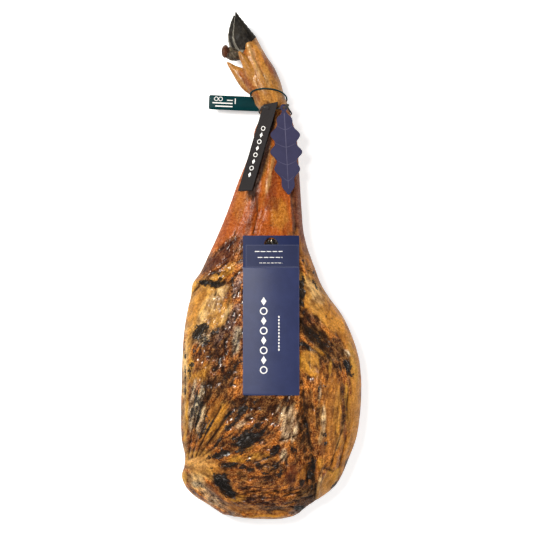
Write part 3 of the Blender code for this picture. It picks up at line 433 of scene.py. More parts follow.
# Black and grey mould, and painted shade seen through the card's hole and just below the card: (x, y, half
# length, half width, angle, amount).
MOULD_AND_PAINTED_SHADE = (
    (-82, 146, 16, 5, -6, 1), (-98, 80, 14, 7, 46, 1), (-90, 70, 22, 9, 46, 0.7),
    (-104, 54, 16, 6, 78, 0.85), (-110, 30, 9, 3, 80, 0.8), (-47, 68, 18, 6, 80, 0.52),
    (-70, 60, 26, 16, 60, 0.42), (-48, 34, 12, 5, 30, 0.7), (-56, 22, 8, 4, 30, 0.6),
    (-106, 0, 18, 6, 74, 0.56), (-101, -24, 26, 7, 76, 0.58), (-92, -48, 22, 5, 68, 0.7),
    # (1, 199, ...) is painted shade seen through the card's hole.
    (1, 199, 12, 6, 0, 1.2), (-103, -14, 18, 1.8, 76, 1.1), (-98, -32, 20, 2.2, 74, 1.1),
    (-108, -30, 14, 1.8, 80, 1), (-93, -54, 16, 2.2, 70, 1.1), (-88, -30, 12, 2, 68, 1),
    (-84, -50, 14, 2, 62, 1), (-70, -66, 14, 2, 50, 0.9), (-56, -30, 9, 2.4, 52, 1),
    (-44, -34, 8, 2.4, 46, 1), (-18, -98, 5, 2, 20, 1), (-28, -104, 5, 2, 0, 1),
    (-40, -102, 6, 2.2, 10, 1), (-8, -110, 5, 2, 0, 0.9), (-30, -92, 5, 2, 10, 1),
    (-4, -88, 5, 2, 20, 0.9), (12, -112, 5, 3, 80, 0.9), (-117, 10, 30, 1.8, 90, 0.8),
    # (-22, -13, ...) is a painted shadow just below the card.
    (-62, 0, 18, 10, 50, 0.4), (-22, -13, 9, 4, 10, 0.9), (-36, -25, 9, 5, 40, 1),
    (-56, -47, 12, 5, 36, 1), (-31, -62, 21, 11, 36, 1.25), (-64, -84, 19, 7, 20, 1.05),
    (-57, -98, 14, 4.5, 6, 0.9), (-80, -86, 8, 3, 20, 0.7), (7, -80, 9, 7, 10, 1.1),
    (30, -79, 7, 5, 30, 0.85), (4, -100, 14, 7, 20, 0.6), (-20, -112, 26, 12, 0, 0.44),
    (6, -124, 14, 6, -10, 0.6), (-66, -122, 18, 7, -56, 1.1), (-56, -136, 10, 5, -46, 1),
    (-96, -126, 12, 8, -40, 0.45), (-78, -144, 20, 7, -40, 0.5), (-62, -158, 14, 5, -34, 0.45),
    (40, -123, 6, 4, 70, 0.95), (53, -114, 7, 4, 90, 1), (57, -97, 11, 4.5, 88, 0.9),
    (56, -130, 8, 3, 90, 0.8), (48, -50, 20, 3, -78, 0.6), (40, -161, 6, 4, 0, 0.9),
    (50, -146, 16, 10, 0, 0.28), (55, 160, 38, 5, -62, 0.42), (42, 134, 16, 4, 88, 1),
    (67, 70, 26, 8, -44, 0.62), (104, 33, 12, 7, -58, 0.95), (47, 61, 9, 4, -32, 0.95),
    (84, 44, 26, 7, -42, 0.42), (64, 6, 8, 3, 80, 0.8), (44, 177, 3, 1.6, -60, 0.8),
    (47, 171, 3, 1.5, -60, 0.8), (51, 164, 4, 1.6, -60, 0.8), (58, 160, 4, 1.8, -60, 0.75),
    (59, 147, 4, 1.8, -60, 0.75), (62, 141, 4, 1.8, -60, 0.75), (-71, 159, 2.5, 2, 0, 1),
    (-68, 153, 2.5, 2, 0, 1), (-118, 66, 2.5, 1.5, 80, 0.9), (-119, 56, 2.5, 1.5, 80, 0.9),
    (-117, 46, 3, 1.5, 80, 0.9), (-55, 27, 4, 3, 20, 0.9), (-36, -14, 12, 5, 60, 0.6),
    (-88, 8, 12, 5, 60, 0.5), (-70, 36, 16, 6, 70, 0.45), (112, 24, 3, 2, 0, 0.9), (72, 8, 3, 2, 0, 0.9),
    (103, -98, 6, 2.5, 70, 0.9), (86, -131, 5, 3, 50, 0.9), (99, -10, 22, 4, 94, 0.55),
    (74, -54, 8, 3.5, 80, 0.7), (73, -70, 5, 4, 0, 0.8), (45, 110, 6, 3, 60, 0.6),
    (-52, 150, 10, 4, 40, 0.5), (20, -100, 10, 5, 60, 0.5),
)

# The foot: dewclaws as (radius, point) from root to tip, and the heel as (middle, half sizes).
NEAR_DEWCLAW = ((8, (-19, 422, 44)), (7.5, (-29, 439, 47)), (5, (-38, 454, 49.5)), (1.6, (-44, 463, 50)))
FAR_DEWCLAW = ((9.5, (-23, 413, 30)), (9, (-34, 421, 29)), (6.8, (-46.5, 436.5, 27)), (1.5, (-60.5, 451, 26)))
HEEL = ((-49, 459.5, 32), (13, 7.5, 12.5))
HEEL_PAD = ((-55, 464.5, 28), (9, 7.5, 9))
HEEL_BULB = ((-62.6, 465, 32), (5.6, 9, 7.5))
TOE_SKIN = ((-29.5, 470.5, 42.5), (8.5, 9.5, 8.3))
DEWCLAW_WEB = ((7, (-16, 414, 36)), (8, (-27, 425, 34)), (7.5, (-38, 434, 30)), (3, (-52, 444, 27)))

# The two claws, as matched points on the sole edge and the front edge, from base to tip. CLAWS holds
# their shapes, and where across the claw its pale ridge runs.
NEAR_CLAW = (
    (-40.8, 459.9, -20.3, 484), (-48, 466.5, -25, 489.5), (-53, 479, -31, 497), (-52.5, 493, -38, 506),
    (-50.5, 507, -44, 513.5), (-49.2, 518.4, -47.6, 518.7),
)
NEAR_CLAW_TOP = ((472, 49), (488, 49), (499, 46), (510, 42), (518.5, 38.6))
NEAR_CLAW_RIM = ((472, 39), (499, 38.5), (518.5, 37.6))
NEAR_CLAW_UNDER = ((472, 35.1), (490, 35.1), (505, 35.1), (518.5, 36.8))
FAR_CLAW = (
    (-44.5, 462.5, -23, 481), (-52, 464.5, -29, 488), (-57.8, 474, -35, 495.5), (-59.2, 486, -41, 503),
    (-57, 500, -46.5, 510), (-51.8, 514.6, -50.6, 515),
)
FAR_CLAW_TOP = ((471, 34.2), (490, 34.2), (503, 34.2), (515, 33))
FAR_CLAW_RIM = ((471, 29), (495, 29.5), (515, 31.5))
FAR_CLAW_UNDER = ((471, 18.5), (488, 20), (503, 25), (515, 30.5))
CLAWS = (
    ("near_claw", (NEAR_CLAW, NEAR_CLAW_TOP, NEAR_CLAW_RIM, NEAR_CLAW_UNDER), -0.86),
    ("far_claw", (FAR_CLAW, FAR_CLAW_TOP, FAR_CLAW_RIM, FAR_CLAW_UNDER), -0.95),
)
CLAW_RIBS = 96
CLAW_ACROSS = 72

# The card label.
LABEL_WIDTH = 76 * MM
LABEL_TOP_Y = 211 * MM
LABEL_LENGTH = 219 * MM
LABEL_HIGH_END = 89.2 * MM
LABEL_LOW_END = 73.6 * MM
LABEL_BOW_RADIUS = 260 * MM
LABEL_SEAT = 0.4 * MM
LABEL_MARGIN = 14 * MM
SEAT_SLOPE = 0.6
CARD_THICKNESS = 0.8 * MM
LAYER_GAP = 0.3 * MM
INSERT_THICKNESS = 0.5 * MM
INSERT_BELOW_TOP = 12.5 * MM
INSERT_WIDTH = 71.5 * MM
SLEEVE_BELOW_TOP = 42.5 * MM
SLEEVE_THICKNESS = 0.9 * MM
PRINT_THICKNESS = 0.06 * MM
SLEEVE_BOTTOM_Y = LABEL_TOP_Y - LABEL_LENGTH + 4 * MM

# The strip tag and the leaf tag: middle of the top end, middle of the bottom end, and roll.
STRIP_TOP = (-0.5, 391.5)
STRIP_BOTTOM = (-35.3, 272)
STRIP_WIDTH = 20.4 * MM
STRIP_PITCH = math.radians(-2.5)
STRIP_ROLL = math.radians(-26)
TOP_END_SLOPE = 0.42
LOW_END_SLOPE = 0.27
LEAF_TOP = (17, 392)
LEAF_BOTTOM = (24, 266)
LEAF_WIDTH = 47 * MM
LEAF_HEAD_RADIUS = 5.2 * MM
LEAF_PITCH = math.radians(-3.5)
LEAF_ROLL = math.radians(20)
TAG_THICKNESS = 0.8 * MM
TAG_CLEARANCE = 0.7 * MM
TAG_START_HEIGHT = 60 * MM
LAYING_ROUNDS = 5
TAG_HOLE_BELOW_TOP = 7 * MM

# The seal and the string round the ankle.
STRAP_RADIUS = 1.05 * MM
STRAP_Y = 401 * MM
STRAP_TILT = 10.5 * MM
FLAG_SIZE = (90 * MM, 20 * MM, 1.5 * MM)
FLAG_CENTRE = (-41, 392.2)
FLAG_TURN = math.radians(-2.5)
STRING_RADIUS = 0.75 * MM
STRING_Y = 380.5 * MM
STRING_TILT = 4.7 * MM
STRING_OVER_CARD = 1.6 * MM
STRING_LEAVES_SKIN = (math.radians(20), math.radians(168))
HOLE_CROSSING = ((-3.2, 1.6), (-1.3, 1.3), (-0.45, 0.5), (0.45, -0.5), (1.3, -1.3), (3.2, -1.6))
LOOP_STEPS = 40
LOOP_CLEARANCE = 0.9 * MM
STRAND_PITCH = 3.2 * MM
STRING_STEP = 0.45 * MM
INSERT_SHIFT = 1.6 * MM
SLEEVE_WAVE = 0.25 * MM
PRINT_GAP = 0.03 * MM
# Rows of ornaments: (x, first y, step, ring's radius and half width, lozenge's half sizes).
LABEL_ROW = (-10, 30, 13.2, (4.4, 0.75), (5.6, 3.6))
STRIP_ROW = (0, -36, -9.4, (2.7, 0.5, 28), (3.6, 2.2))
# Dashes on the insert as (y, reach, count, half width), and veins of the leaf as (start, reach).
LABEL_DASHES = ((189.5, 24, 6, 0.5), (181.5, 20, 5, 0.5), (174, 18, 7, 0.34))
LEAF_VEINS = ((34, 14), (58, 17), (82, 16), (104, 9))
# The flag: its bars as (start, end, half width, steps), and its edge as (share inset, height).
FLAG_BARS = (
    ((-40, -0.6), (-12, -0.6), 0.75), ((-36, -5.0), (-12, -5.0), 0.75), ((-20, 3.6), (-12, 3.6), 0.6, 8),
    ((-8.6, -1), (-8.6, 6.6), 0.6, 8),
)
FLAG_SHIFT = 2.6
FLAG_CORNER = 2.6 * MM
PLATE_SOFTNESS = 1.2 * MM
PLATE_CAP = (0.5, 0.2)
PLATE_EDGE = (
    (None, -0.5), (0.35, -0.5), (0.1, -0.38), (0, -0.15), (0, 0.15), (0.1, 0.38), (0.35, 0.5), (None, 0.5),
)

# Coarse, blotchy and fine streaks of the cut face: (width, length along the fibres, seed).
STREAKS = ((1.9, 26, 11), (1.7, 7, 13), (0.7, 9, 12))
# Stretches of y over which shank skin takes over from lean meat, and foot skin from rind.
SHANK_START = (176, 214)
FOOT_START = (330, 395)
WRIST_Y = 392
PRESS_MARGIN = 1.5 * MM
PRESS_GAP = 0.35 * MM
ABOVE_THE_UNDERSIDE = 30 * MM
# Closing rings: at the butt (share of the way inwards, distance back), and at the coronet, where the
# skin rolls over, (share of the last ring's size, distance out along LIP_DIRECTION).
BUTT_ROUNDING = ((0.9, 0.9), (0.7, 0.8), (0.45, 0.6), (0.2, 0.4), (0.08, 0.2))
LIP_DIRECTION = np.array([-0.76, 0.65, 0])
LIP_ROLL = ((1.03, 0.5), (1.045, 1.4), (1.02, 2.3), (0.95, 2.4), (0.8, 1.2), (0.4, 0.6))
HORN_GRAIN = (-0.55, 0.83, 0.0)
FIBRE_TURNS = 6

# Cards: colour and worn colour as light, roughness and, where it isn't the usual, shine.
CARDS = {
    "back card": ((0.0105, 0.0158, 0.057), (0.06, 0.07, 0.13), 0.5),
    "insert card": ((0.0175, 0.0223, 0.06), (0.1, 0.11, 0.18), 0.5),
    "sleeve card": ((0.0205, 0.0267, 0.0775), (0.1, 0.11, 0.19), 0.36, 0.27),
    "black card": ((0.0105, 0.0085, 0.0098), (0.13, 0.11, 0.1), 0.6),
    "slate card": ((0.035, 0.0335, 0.073), (0.13, 0.12, 0.19), 0.6),
    "vein ink": ((0.085, 0.08, 0.135), (0.16, 0.15, 0.22), 0.55),
}

# The studio: lamps as (name, place, size, power, seen in reflections, tint).
LAMPS = (
    ("key", (-1.2, 0.95, 1.75), 0.5, 61, True, (1, 0.96, 0.88)),
    ("overhead", (-0.55, 0.6, 2.35), 0.35, 16, True, (1, 1, 1)),
    ("fill", (1.5, -0.3, 1.4), 1.2, 25, False, (1, 1, 1)),
    ("front", (-0.6, -1.5, 1.0), 1.0, 2.5, False, (1, 1, 1)),
)
LAMP_TARGET = (0, 0.12, 0.05)
CAMERA_PLACE = (-0.0062, 0.1692, 2.542)
CAMERA_LENS = 123.25



def through(pairs, at):
    """A smooth curve through (station, value...) rows: cubic pieces with the neighbours' mean slope."""
    rows = np.asarray(pairs, float)
    stations, values = rows[:, 0], rows[:, 1:]
    slopes = np.gradient(values, stations, axis=0)
    at = np.asarray(at, float)
    i = np.clip(np.searchsorted(stations, at) - 1, 0, len(stations) - 2)
    step = (stations[i + 1] - stations[i])[..., None]
    k = np.clip((at - stations[i])[..., None] / step, 0, 1)
    near = values[i] * (1 + 2 * k) + slopes[i] * step * k
    far = values[i + 1] * (3 - 2 * k) - slopes[i + 1] * step * (1 - k)
    curve = near * (1 - k) ** 2 + far * k**2
    return curve[..., 0] if curve.shape[-1] == 1 else curve


def across_outline(outline, t, side):
    """x and y at side, -1 at the left edge to 1 at the right, t along the outline, and y at its middle."""
    rows = np.asarray(outline, float)
    steps = np.abs(np.diff(rows, axis=0))
    lengths = np.hypot(steps[:, 0], steps[:, 1]) + np.hypot(steps[:, 2], steps[:, 3])
    stations = np.concatenate([[0], np.cumsum(lengths)]) / lengths.sum()
    points = through(np.column_stack([stations, rows]), t)
    left, right = points[..., :2], points[..., 2:]
    x = (left[..., 0] * (1 - side) + right[..., 0] * (1 + side)) / 2
    y = (left[..., 1] * (1 - side) + right[..., 1] * (1 + side)) / 2
    return x, y, (left[..., 1] + right[..., 1]) / 2


def dome(side, fullness):
    """Height share across a rib: 1 at the middle, 0 at both edges."""
    return np.sqrt(np.clip(1 - np.abs(side) ** fullness, 0, 1))


def line_distance(x, y, line):
    """Distance from each point to a line of straight stretches."""
    points = np.asarray(line, float)
    nearest = np.full(np.shape(x), np.inf)
    for (ax, ay), (bx, by) in zip(points[:-1], points[1:]):
        run = math.dist((ax, ay), (bx, by)) ** 2
        along = np.clip(((x - ax) * (bx - ax) + (y - ay) * (by - ay)) / run, 0, 1)
        nearest = np.minimum(nearest, np.hypot(x - ax - along * (bx - ax), y - ay - along * (by - ay)))
    return nearest


def relief(x, y, lines):
    """Sum of folds and furrows: each line's height times exp(-(distance / half width) squared)."""
    height = np.zeros(np.shape(x))
    for rise, half_width, line in lines.values():
        height += rise * np.exp(-((line_distance(x, y, line) / half_width) ** 2))
    return height


def label_floor(x, y):
    """Underside of the card, in metres: straight along the ham and bowed across it."""
    share = (LABEL_TOP_Y - y) / LABEL_LENGTH
    middle = LABEL_LOW_END + (LABEL_HIGH_END - LABEL_LOW_END) * share
    return middle - x**2 / (2 * LABEL_BOW_RADIUS)


def seat_the_label(x, y, z):
    """The meat pressed down to just under the card, with a soft edge round it."""
    outside_x = np.abs(x) - LABEL_WIDTH / 2
    outside_y = np.maximum(y - LABEL_TOP_Y, LABEL_TOP_Y - LABEL_LENGTH - y)
    outside = np.maximum(np.maximum(outside_x, outside_y) - LABEL_MARGIN, 0)
    return np.minimum(z, label_floor(x, y) - LABEL_SEAT + outside * SEAT_SLOPE)


def ham_point(t, side, upper):
    """The ham's surface in metres at t along it and side across it, on its upper or its under side."""
    x, y, middle = across_outline(OUTLINE, t, side)
    rim = through(RIM, middle)
    crown_side = through(CROWN_SIDE, middle)
    leaning = (side - crown_side) / np.where(side > crown_side, 1 - crown_side, 1 + crown_side)
    fullness = through(FULLNESS, middle)
    above = rim + (through(CROWN, middle) - rim) * dome(leaning, fullness)
    above = above + relief(x, y, RELIEF) * dome(side, 2)
    below = np.maximum(rim - (rim - through(UNDERSIDE, middle)) * dome(side, fullness), 0)
    x, y = x * MM, y * MM
    return np.stack([x, y, np.where(upper, seat_the_label(x, y, above * MM), below * MM)], axis=-1)


def ring_sides(top_steps, under_steps, evenness=1.0):
    """Stations round a rib, closer at the edges: left to right on top, and back underneath."""
    reach = math.pi / 2 * evenness
    top = np.sin(np.linspace(-1, 1, top_steps + 1) * reach) / math.sin(reach)
    under = np.sin(np.linspace(1, -1, under_steps + 1) * reach)[1:-1] / math.sin(reach)
    side = np.concatenate([top, under])
    return side, np.arange(len(side)) < len(top)


def smooth_step(value, low, high):
    """0 below low, 1 above high, and 3k2 - 2k3 between."""
    k = np.clip((value - low) / (high - low), 0, 1)
    return k * k * (3 - 2 * k)


def lattice_value(cells, seed):
    """A repeatable value from -1 to 1 for each whole-number cell, from a sine hash."""
    x, y, z = np.moveaxis(cells, -1, 0)
    mixed = np.sin(x * 127.1 + y * 311.7 + z * 74.7 + seed * 19.19) * 43758.5453
    return (mixed - np.floor(mixed)) * 2 - 1


def cloud(points, size, seed=0):
    """Smooth noise of that cell size: lattice values blended by smooth steps along each axis."""
    scaled = points / size
    cell = np.floor(scaled)
    k = smooth_step(scaled - cell, 0, 1)
    total = 0
    for corner in np.ndindex(2, 2, 2):
        share = np.abs(1 - np.array(corner) - k)
        total = total + share[..., 0] * share[..., 1] * share[..., 2] * lattice_value(cell + corner, seed)
    return total


def billows(points, size, octaves, seed=0):
    """Clouds of halving size and height, added."""
    return sum(cloud(points, size / 2**i, seed + i) / 2**i for i in range(octaves))


def blurred(field, sigma):
    """The field with its fine waves damped: its spectrum times a Gaussian."""
    rows, columns = field.shape
    fy = np.fft.fftfreq(rows)[:, None]
    fx = np.fft.rfftfreq(columns)[None, :]
    damping = np.exp(-2 * (math.pi * sigma) ** 2 * (fx**2 + fy**2))
    return np.fft.irfft2(np.fft.rfft2(field) * damping, s=field.shape)


def grain_direction(x, y):
    """Unit vectors along the fibres: the anchors' doubled angles, blended by nearness, then halved."""
    cosine = np.full(np.shape(x), -1e-6)
    sine = np.zeros(np.shape(x))
    for ax, ay, angle, reach in GRAIN:
        weight = np.exp(-((x - ax) ** 2 + (y - ay) ** 2) / (2 * reach**2)) + 1e-9
        cosine += weight * math.cos(2 * math.radians(angle))
        sine += weight * math.sin(2 * math.radians(angle))
    angle = np.arctan2(sine, cosine) / 2
    return np.stack([np.cos(angle), np.sin(angle)], axis=-1)


def streaks(direction, width, length, seed):
    """Noise as wide as width, averaged over length along the fibres, with a mean of 0 and a spread of 1."""
    rows, columns = direction.shape[:2]
    noise = blurred(np.random.default_rng(seed).standard_normal((rows, columns)), width / GRAIN_CELL)
    row, column = np.mgrid[0:rows, 0:columns].astype(float)
    total = noise.copy()
    for sign in (1, -1):
        heading = direction * sign
        r, c = row.copy(), column.copy()
        for _ in range(int(length / GRAIN_CELL / 2)):
            r += heading[..., 1]
            c += heading[..., 0]
            i = np.clip(np.rint(r).astype(int), 0, rows - 1)
            j = np.clip(np.rint(c).astype(int), 0, columns - 1)
            total += noise[i, j]
            ahead = direction[i, j]
            along = np.sum(ahead * heading, axis=-1, keepdims=True)
            heading = np.where(along < 0, -ahead, ahead)
    return (total - total.mean()) / total.std()


def make_fibres():
    """Fields of coarse, blotchy and fine streaks over the cut face."""
    x = np.arange(0, GRAIN_SPAN[0], GRAIN_CELL) + GRAIN_CORNER[0]
    y = np.arange(0, GRAIN_SPAN[1], GRAIN_CELL) + GRAIN_CORNER[1]
    direction = grain_direction(*np.meshgrid(x, y))
    return [streaks(direction, width, length, seed) for width, length, seed in STREAKS]


def read_fibres(fibres, x, y):
    """The three fields at places in millimetres, blended between their four nearest cells."""
    rows, columns = fibres[0].shape
    c = np.clip((x - GRAIN_CORNER[0]) / GRAIN_CELL, 0, columns - 1.001)
    r = np.clip((y - GRAIN_CORNER[1]) / GRAIN_CELL, 0, rows - 1.001)
    j, i = c.astype(int), r.astype(int)
    u, v = c - j, r - i
    read = []
    for field in fibres:
        near = field[i, j] * (1 - u) + field[i, j + 1] * u
        far = field[i + 1, j] * (1 - u) + field[i + 1, j + 1] * u
        read.append(near * (1 - v) + far * v)
    return read


def patch_weight(x, y, patch, warp, softness):
    """A patch's strength inside its turned ellipse and 0 outside, through an edge the warp makes ragged."""
    px, py, half_length, half_width, angle, strength = patch
    turn = math.radians(angle)
    u = (x - px) * math.cos(turn) + (y - py) * math.sin(turn)
    v = (y - py) * math.cos(turn) - (x - px) * math.sin(turn)
    distance = np.hypot(u / half_length, v / half_width) + warp
    return strength * (1 - smooth_step(distance, 1 - softness, 1 + softness))


def finish_row(name):
    """A finish in one row: its screen colour turned into light, its ruggedness and its oiliness."""
    colour, rugged, oil = TONES[name]
    share = np.asarray(colour, float) / 255
    light = np.where(share < 0.04045, share / 12.92, ((share + 0.055) / 1.055) ** 2.4)
    return np.array([*light, rugged, oil])


def laid_over(rows, name, weight):
    """The rows mixed towards a finish by a weight for each."""
    return rows + weight[:, None] * (finish_row(name) - rows)


def painted(points, fibres):
    """Finish rows at each point: rind below the rim, and the patches laid over each other above it, then
    painted shade in the streaks' grooves and the cuts' hollows and painted light on their ridges and lips.
    """
    place = points / MM
    x, y, z = place.T
    coarse, blotch, fine = read_fibres(fibres, x, y)
    warp = 0.30 * billows(place, 14, 3, 5) + 0.13 * coarse
    rows = np.tile(finish_row("shank skin"), (len(points), 1))
    rows = laid_over(rows, "orange lean", 1 - smooth_step(y + 6 * warp, *SHANK_START))
    for name, *patches in PATCHES:
        for patch in patches:
            rows = laid_over(rows, name, patch_weight(x, y, patch, warp, 0.35))
    skin_edge = smooth_step(z - through(RIM, y) + 5 * warp, -1.5, 3.5)
    rind = laid_over(np.tile(finish_row("rind"), (len(points), 1)), "foot skin", smooth_step(y, *FOOT_START))
    rind = rind * np.exp(0.3 * billows(place, 30, 3, 61)[:, None] * (0.8, 1, 1.2, 0, 0))
    rows = rind + (rows - rind) * skin_edge[:, None]
    for name, (middle, half_sizes) in (("heel", HEEL), ("heel", HEEL_PAD), ("heel bulb", HEEL_BULB)):
        reach = np.linalg.norm((place - middle) / half_sizes, axis=-1)
        rows = laid_over(rows, name, 1 - smooth_step(reach + 0.2 * warp, 1.02, 1.22))
    # Streak tone: the fibres' own darker and paler colour, from the same fields that raise the relief, so it
    # is also painted shade in their grooves and painted light on their ridges.
    streak = 0.6 * coarse + 0.85 * blotch + 0.7 * fine
    depth = (np.clip(streak, -2.6, 2.0) * rows[:, 3] * skin_edge)[:, None]
    rows[:, :3] *= np.exp(np.where(depth < 0, depth * (0.8, 0.98, 1.1), depth * (0.42, 0.47, 0.36)))
    # Painted shade in the finer cuts and cracks, and painted light on their lips.
    cut = (relief(x, y, FINE_RELIEF) * skin_edge)[:, None]
    rows[:, :3] *= np.exp(np.minimum(cut, 0) * (0.32, 0.4, 0.46) + np.maximum(cut, 0) * 0.12)
    return rows, skin_edge


def mould_and_painted_shade(points, fibres, skin_edge):
    """Amount of mould, and of painted shade at the card's hole and below the card, at each point: the
    strongest of its patches, raised and lowered along the fibres.
    """
    place = points / MM
    x, y, _ = place.T
    coarse, blotch, _ = read_fibres(fibres, x, y)
    warp = 0.40 * billows(place, 9, 3, 31) + 0.16 * coarse - 0.16 * blotch
    amount = np.zeros(len(points))
    for patch in MOULD_AND_PAINTED_SHADE:
        amount = np.maximum(amount, patch_weight(x, y, patch, warp, 0.7))
    return amount * skin_edge


def unit(vectors):
    """Vectors brought to length 1."""
    return vectors / np.maximum(np.linalg.norm(vectors, axis=-1, keepdims=True), 1e-12)


def ring_normals(rings):
    """Outward directions of a grid of rings: the cross product of its two runs."""
    along = np.gradient(rings, axis=0)
    around = np.roll(rings, -1, axis=1) - np.roll(rings, 1, axis=1)
    normals = unit(np.cross(along, around))
    outward = np.sum(normals * (rings - rings.mean(axis=1, keepdims=True)))
    return normals if outward > 0 else -normals


def surface_detail(points, fibres):
    """Fine height in millimetres: fibres and wrinkles where the finish is rugged, soft folds on skin."""
    place = points.reshape(-1, 3) / MM
    x, y, _ = place.T
    rows, skin_edge = painted(points.reshape(-1, 3), fibres)
    rugged = rows[:, 3] * skin_edge
    ridges, blotches, threads = read_fibres(fibres, x, y)
    wrinkles = 1 - 2 * np.abs(billows(place + 3 * billows(place, 9, 2, 3)[:, None], 7, 3, 8))
    height = rugged * (0.65 * ridges + 0.5 * threads + 0.35 * blotches + 0.75 * wrinkles)
    height += (0.25 + 0.75 * skin_edge) * 0.8 * billows(place, 26, 2, 17)
    height += relief(x, y, FINE_RELIEF) * skin_edge
    skin_wrinkles = 1 - np.abs(billows(place * (1, 0.55, 1), 6, 3, 23))
    height += 0.28 * (skin_wrinkles - 0.7) * (1 - 0.6 * rugged)
    return height.reshape(points.shape[:2])


def seen_from(matrix, points):
    """Points in a frame's own directions, from its origin."""
    inverse = np.array(matrix.inverted())
    return points @ inverse[:3, :3].T + inverse[:3, 3]


def press_under(points, tag):
    """Points under a tag moved down to stay clear of it."""
    matrix, length, width = tag
    x, y, z = np.moveaxis(seen_from(matrix, points), -1, 0)
    beside = (np.abs(x) < width / 2 + PRESS_MARGIN) & (points[..., 2] > ABOVE_THE_UNDERSIDE)
    inside = beside & (y < PRESS_MARGIN) & (y > -length - PRESS_MARGIN)
    excess = z + TAG_THICKNESS / 2 + PRESS_GAP
    lowered = points.copy()
    lowered[..., 2] -= np.where(inside & (excess > 0), excess, 0)
    return lowered


def ham_rings(fibres, strip, leaf):
    """Closed rings of the ham's finished surface, rounded at the butt and rolled over at the coronet."""
    side, upper = ring_sides(HAM_ACROSS, HAM_UNDER, 0.86)
    t = np.linspace(0, 1, HAM_RIBS)[:, None]
    flags = np.broadcast_to(upper, (HAM_RIBS, len(upper)))
    base = ham_point(t + 0 * side, side + 0 * t, flags)
    fade = smooth_step(t, 0, 0.012) * (1 - smooth_step(t, 0.985, 1))
    calm = 1 - 0.75 * np.exp(-(((base[..., 1] / MM - WRIST_Y) / 14) ** 2))
    edge = 1 - 0.7 * np.abs(side) ** 12
    detail = surface_detail(base, fibres) * fade * calm * edge * MM
    rings = base + ring_normals(base) * detail[..., None]
    seated = seat_the_label(rings[..., 0], rings[..., 1], rings[..., 2])
    rings[..., 2] = np.where(flags, seated, rings[..., 2])
    for tag in (strip, leaf):
        rings = press_under(rings, tag)
    rings[..., 2] = np.maximum(rings[..., 2], np.where(flags, 0, base[..., 2].clip(0)))
    middle = rings.mean(axis=1, keepdims=True)
    inset = 0.10 * (1 - smooth_step(t, 0, 0.014))[..., None]
    rings = rings + (middle - rings) * inset
    inwards, outwards = middle[0] - rings[0], rings[-1] - middle[-1]
    butt = [rings[0] + inwards * share + (0, -back * MM, 0) for share, back in BUTT_ROUNDING]
    lip = [middle[-1] + outwards * share + LIP_DIRECTION * out * MM for share, out in LIP_ROLL]
    return np.concatenate([np.stack(butt), rings, np.stack(lip)])


def tube_faces(index):
    """Quads between neighbouring rows of a grid of point numbers, each row closed on itself."""
    beside = np.roll(index, -1, axis=1)
    return np.stack([index[:-1], beside[:-1], beside[1:], index[1:]], axis=-1).reshape(-1, 4).tolist()


def mesh_from(name, points, faces):
    """A mesh with doubles merged and faces turned outwards."""
    mesh = bpy.data.meshes.new(name)
    mesh.from_pydata(points.reshape(-1, 3).tolist(), [], faces)
    shell = bmesh.new()
    shell.from_mesh(mesh)
    bmesh.ops.remove_doubles(shell, verts=shell.verts, dist=1e-7)
    bmesh.ops.recalc_face_normals(shell, faces=shell.faces)
    shell.to_mesh(mesh)
    shell.free()
    return mesh


def tube_mesh(name, rings, closed=False):
    """A smooth mesh through rings of points, that come back to the first, or with a face on each end."""
    index = np.arange(rings[..., 0].size).reshape(rings.shape[:2])
    if closed:
        faces = tube_faces(np.vstack([index, index[:1]]))
    else:
        faces = tube_faces(index) + [index[0][::-1].tolist(), index[-1].tolist()]
    mesh = mesh_from(name, rings, faces)
    mesh.shade_smooth()
    return mesh


def add_piece(name, mesh, finish, slot, *replaced):
    """A finished piece in the scene, riding on the ham."""
    piece = bpy.data.objects.new(name, mesh)
    bpy.context.scene.collection.objects.link(piece)
    mesh.materials.clear()
    mesh.materials.append(finish)
    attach(piece, BODY)
    if replaced:
        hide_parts(*replaced)
    return piece


def vertex_values(mesh, field="co"):
    """A vector for each vertex: its place, or its normal."""
    values = np.empty(len(mesh.vertices) * 3, np.float32)
    mesh.vertices.foreach_get(field, values)
    return values.reshape(-1, 3).astype(float)


def vertex_attribute(mesh, name, kind, values):
    """A named value at each vertex: FLOAT, FLOAT_VECTOR or FLOAT_COLOR."""
    field = {"FLOAT": "value", "FLOAT_VECTOR": "vector", "FLOAT_COLOR": "color"}[kind]
    layer = mesh.attributes.new(name, kind, "POINT")
    layer.data.foreach_set(field, np.ascontiguousarray(values, np.float32).ravel())


def spokes(out, across, sides):
    """Unit vectors all round each point of a line, from two that are square to it."""
    angle = np.linspace(0, 2 * math.pi, sides, endpoint=False)
    return out[:, None] * np.cos(angle)[:, None] + across[:, None] * np.sin(angle)[:, None]


def finger(name, stations):
    """A finger of skin that narrows to a rounded tip along a smooth line."""
    radii, points = zip(*stations)
    rows = np.column_stack([np.linspace(0, 1, len(stations)), radii, points])
    at = 1 - (1 - np.linspace(0, 1, 46)) ** 1.4
    smooth = through(rows, at) * MM
    radius = smooth[:, 0] * np.sqrt(np.clip(1 - ((at - 0.94) / 0.065).clip(0, 1) ** 2, 0.02, 1))
    tangent = unit(np.gradient(smooth[:, 1:], axis=0))
    across = unit(np.cross(tangent, (0, 0, 1)))
    round_it = spokes(across, np.cross(across, tangent), 40)
    return tube_mesh(name, smooth[:, None, 1:] + round_it * radius[:, None, None])


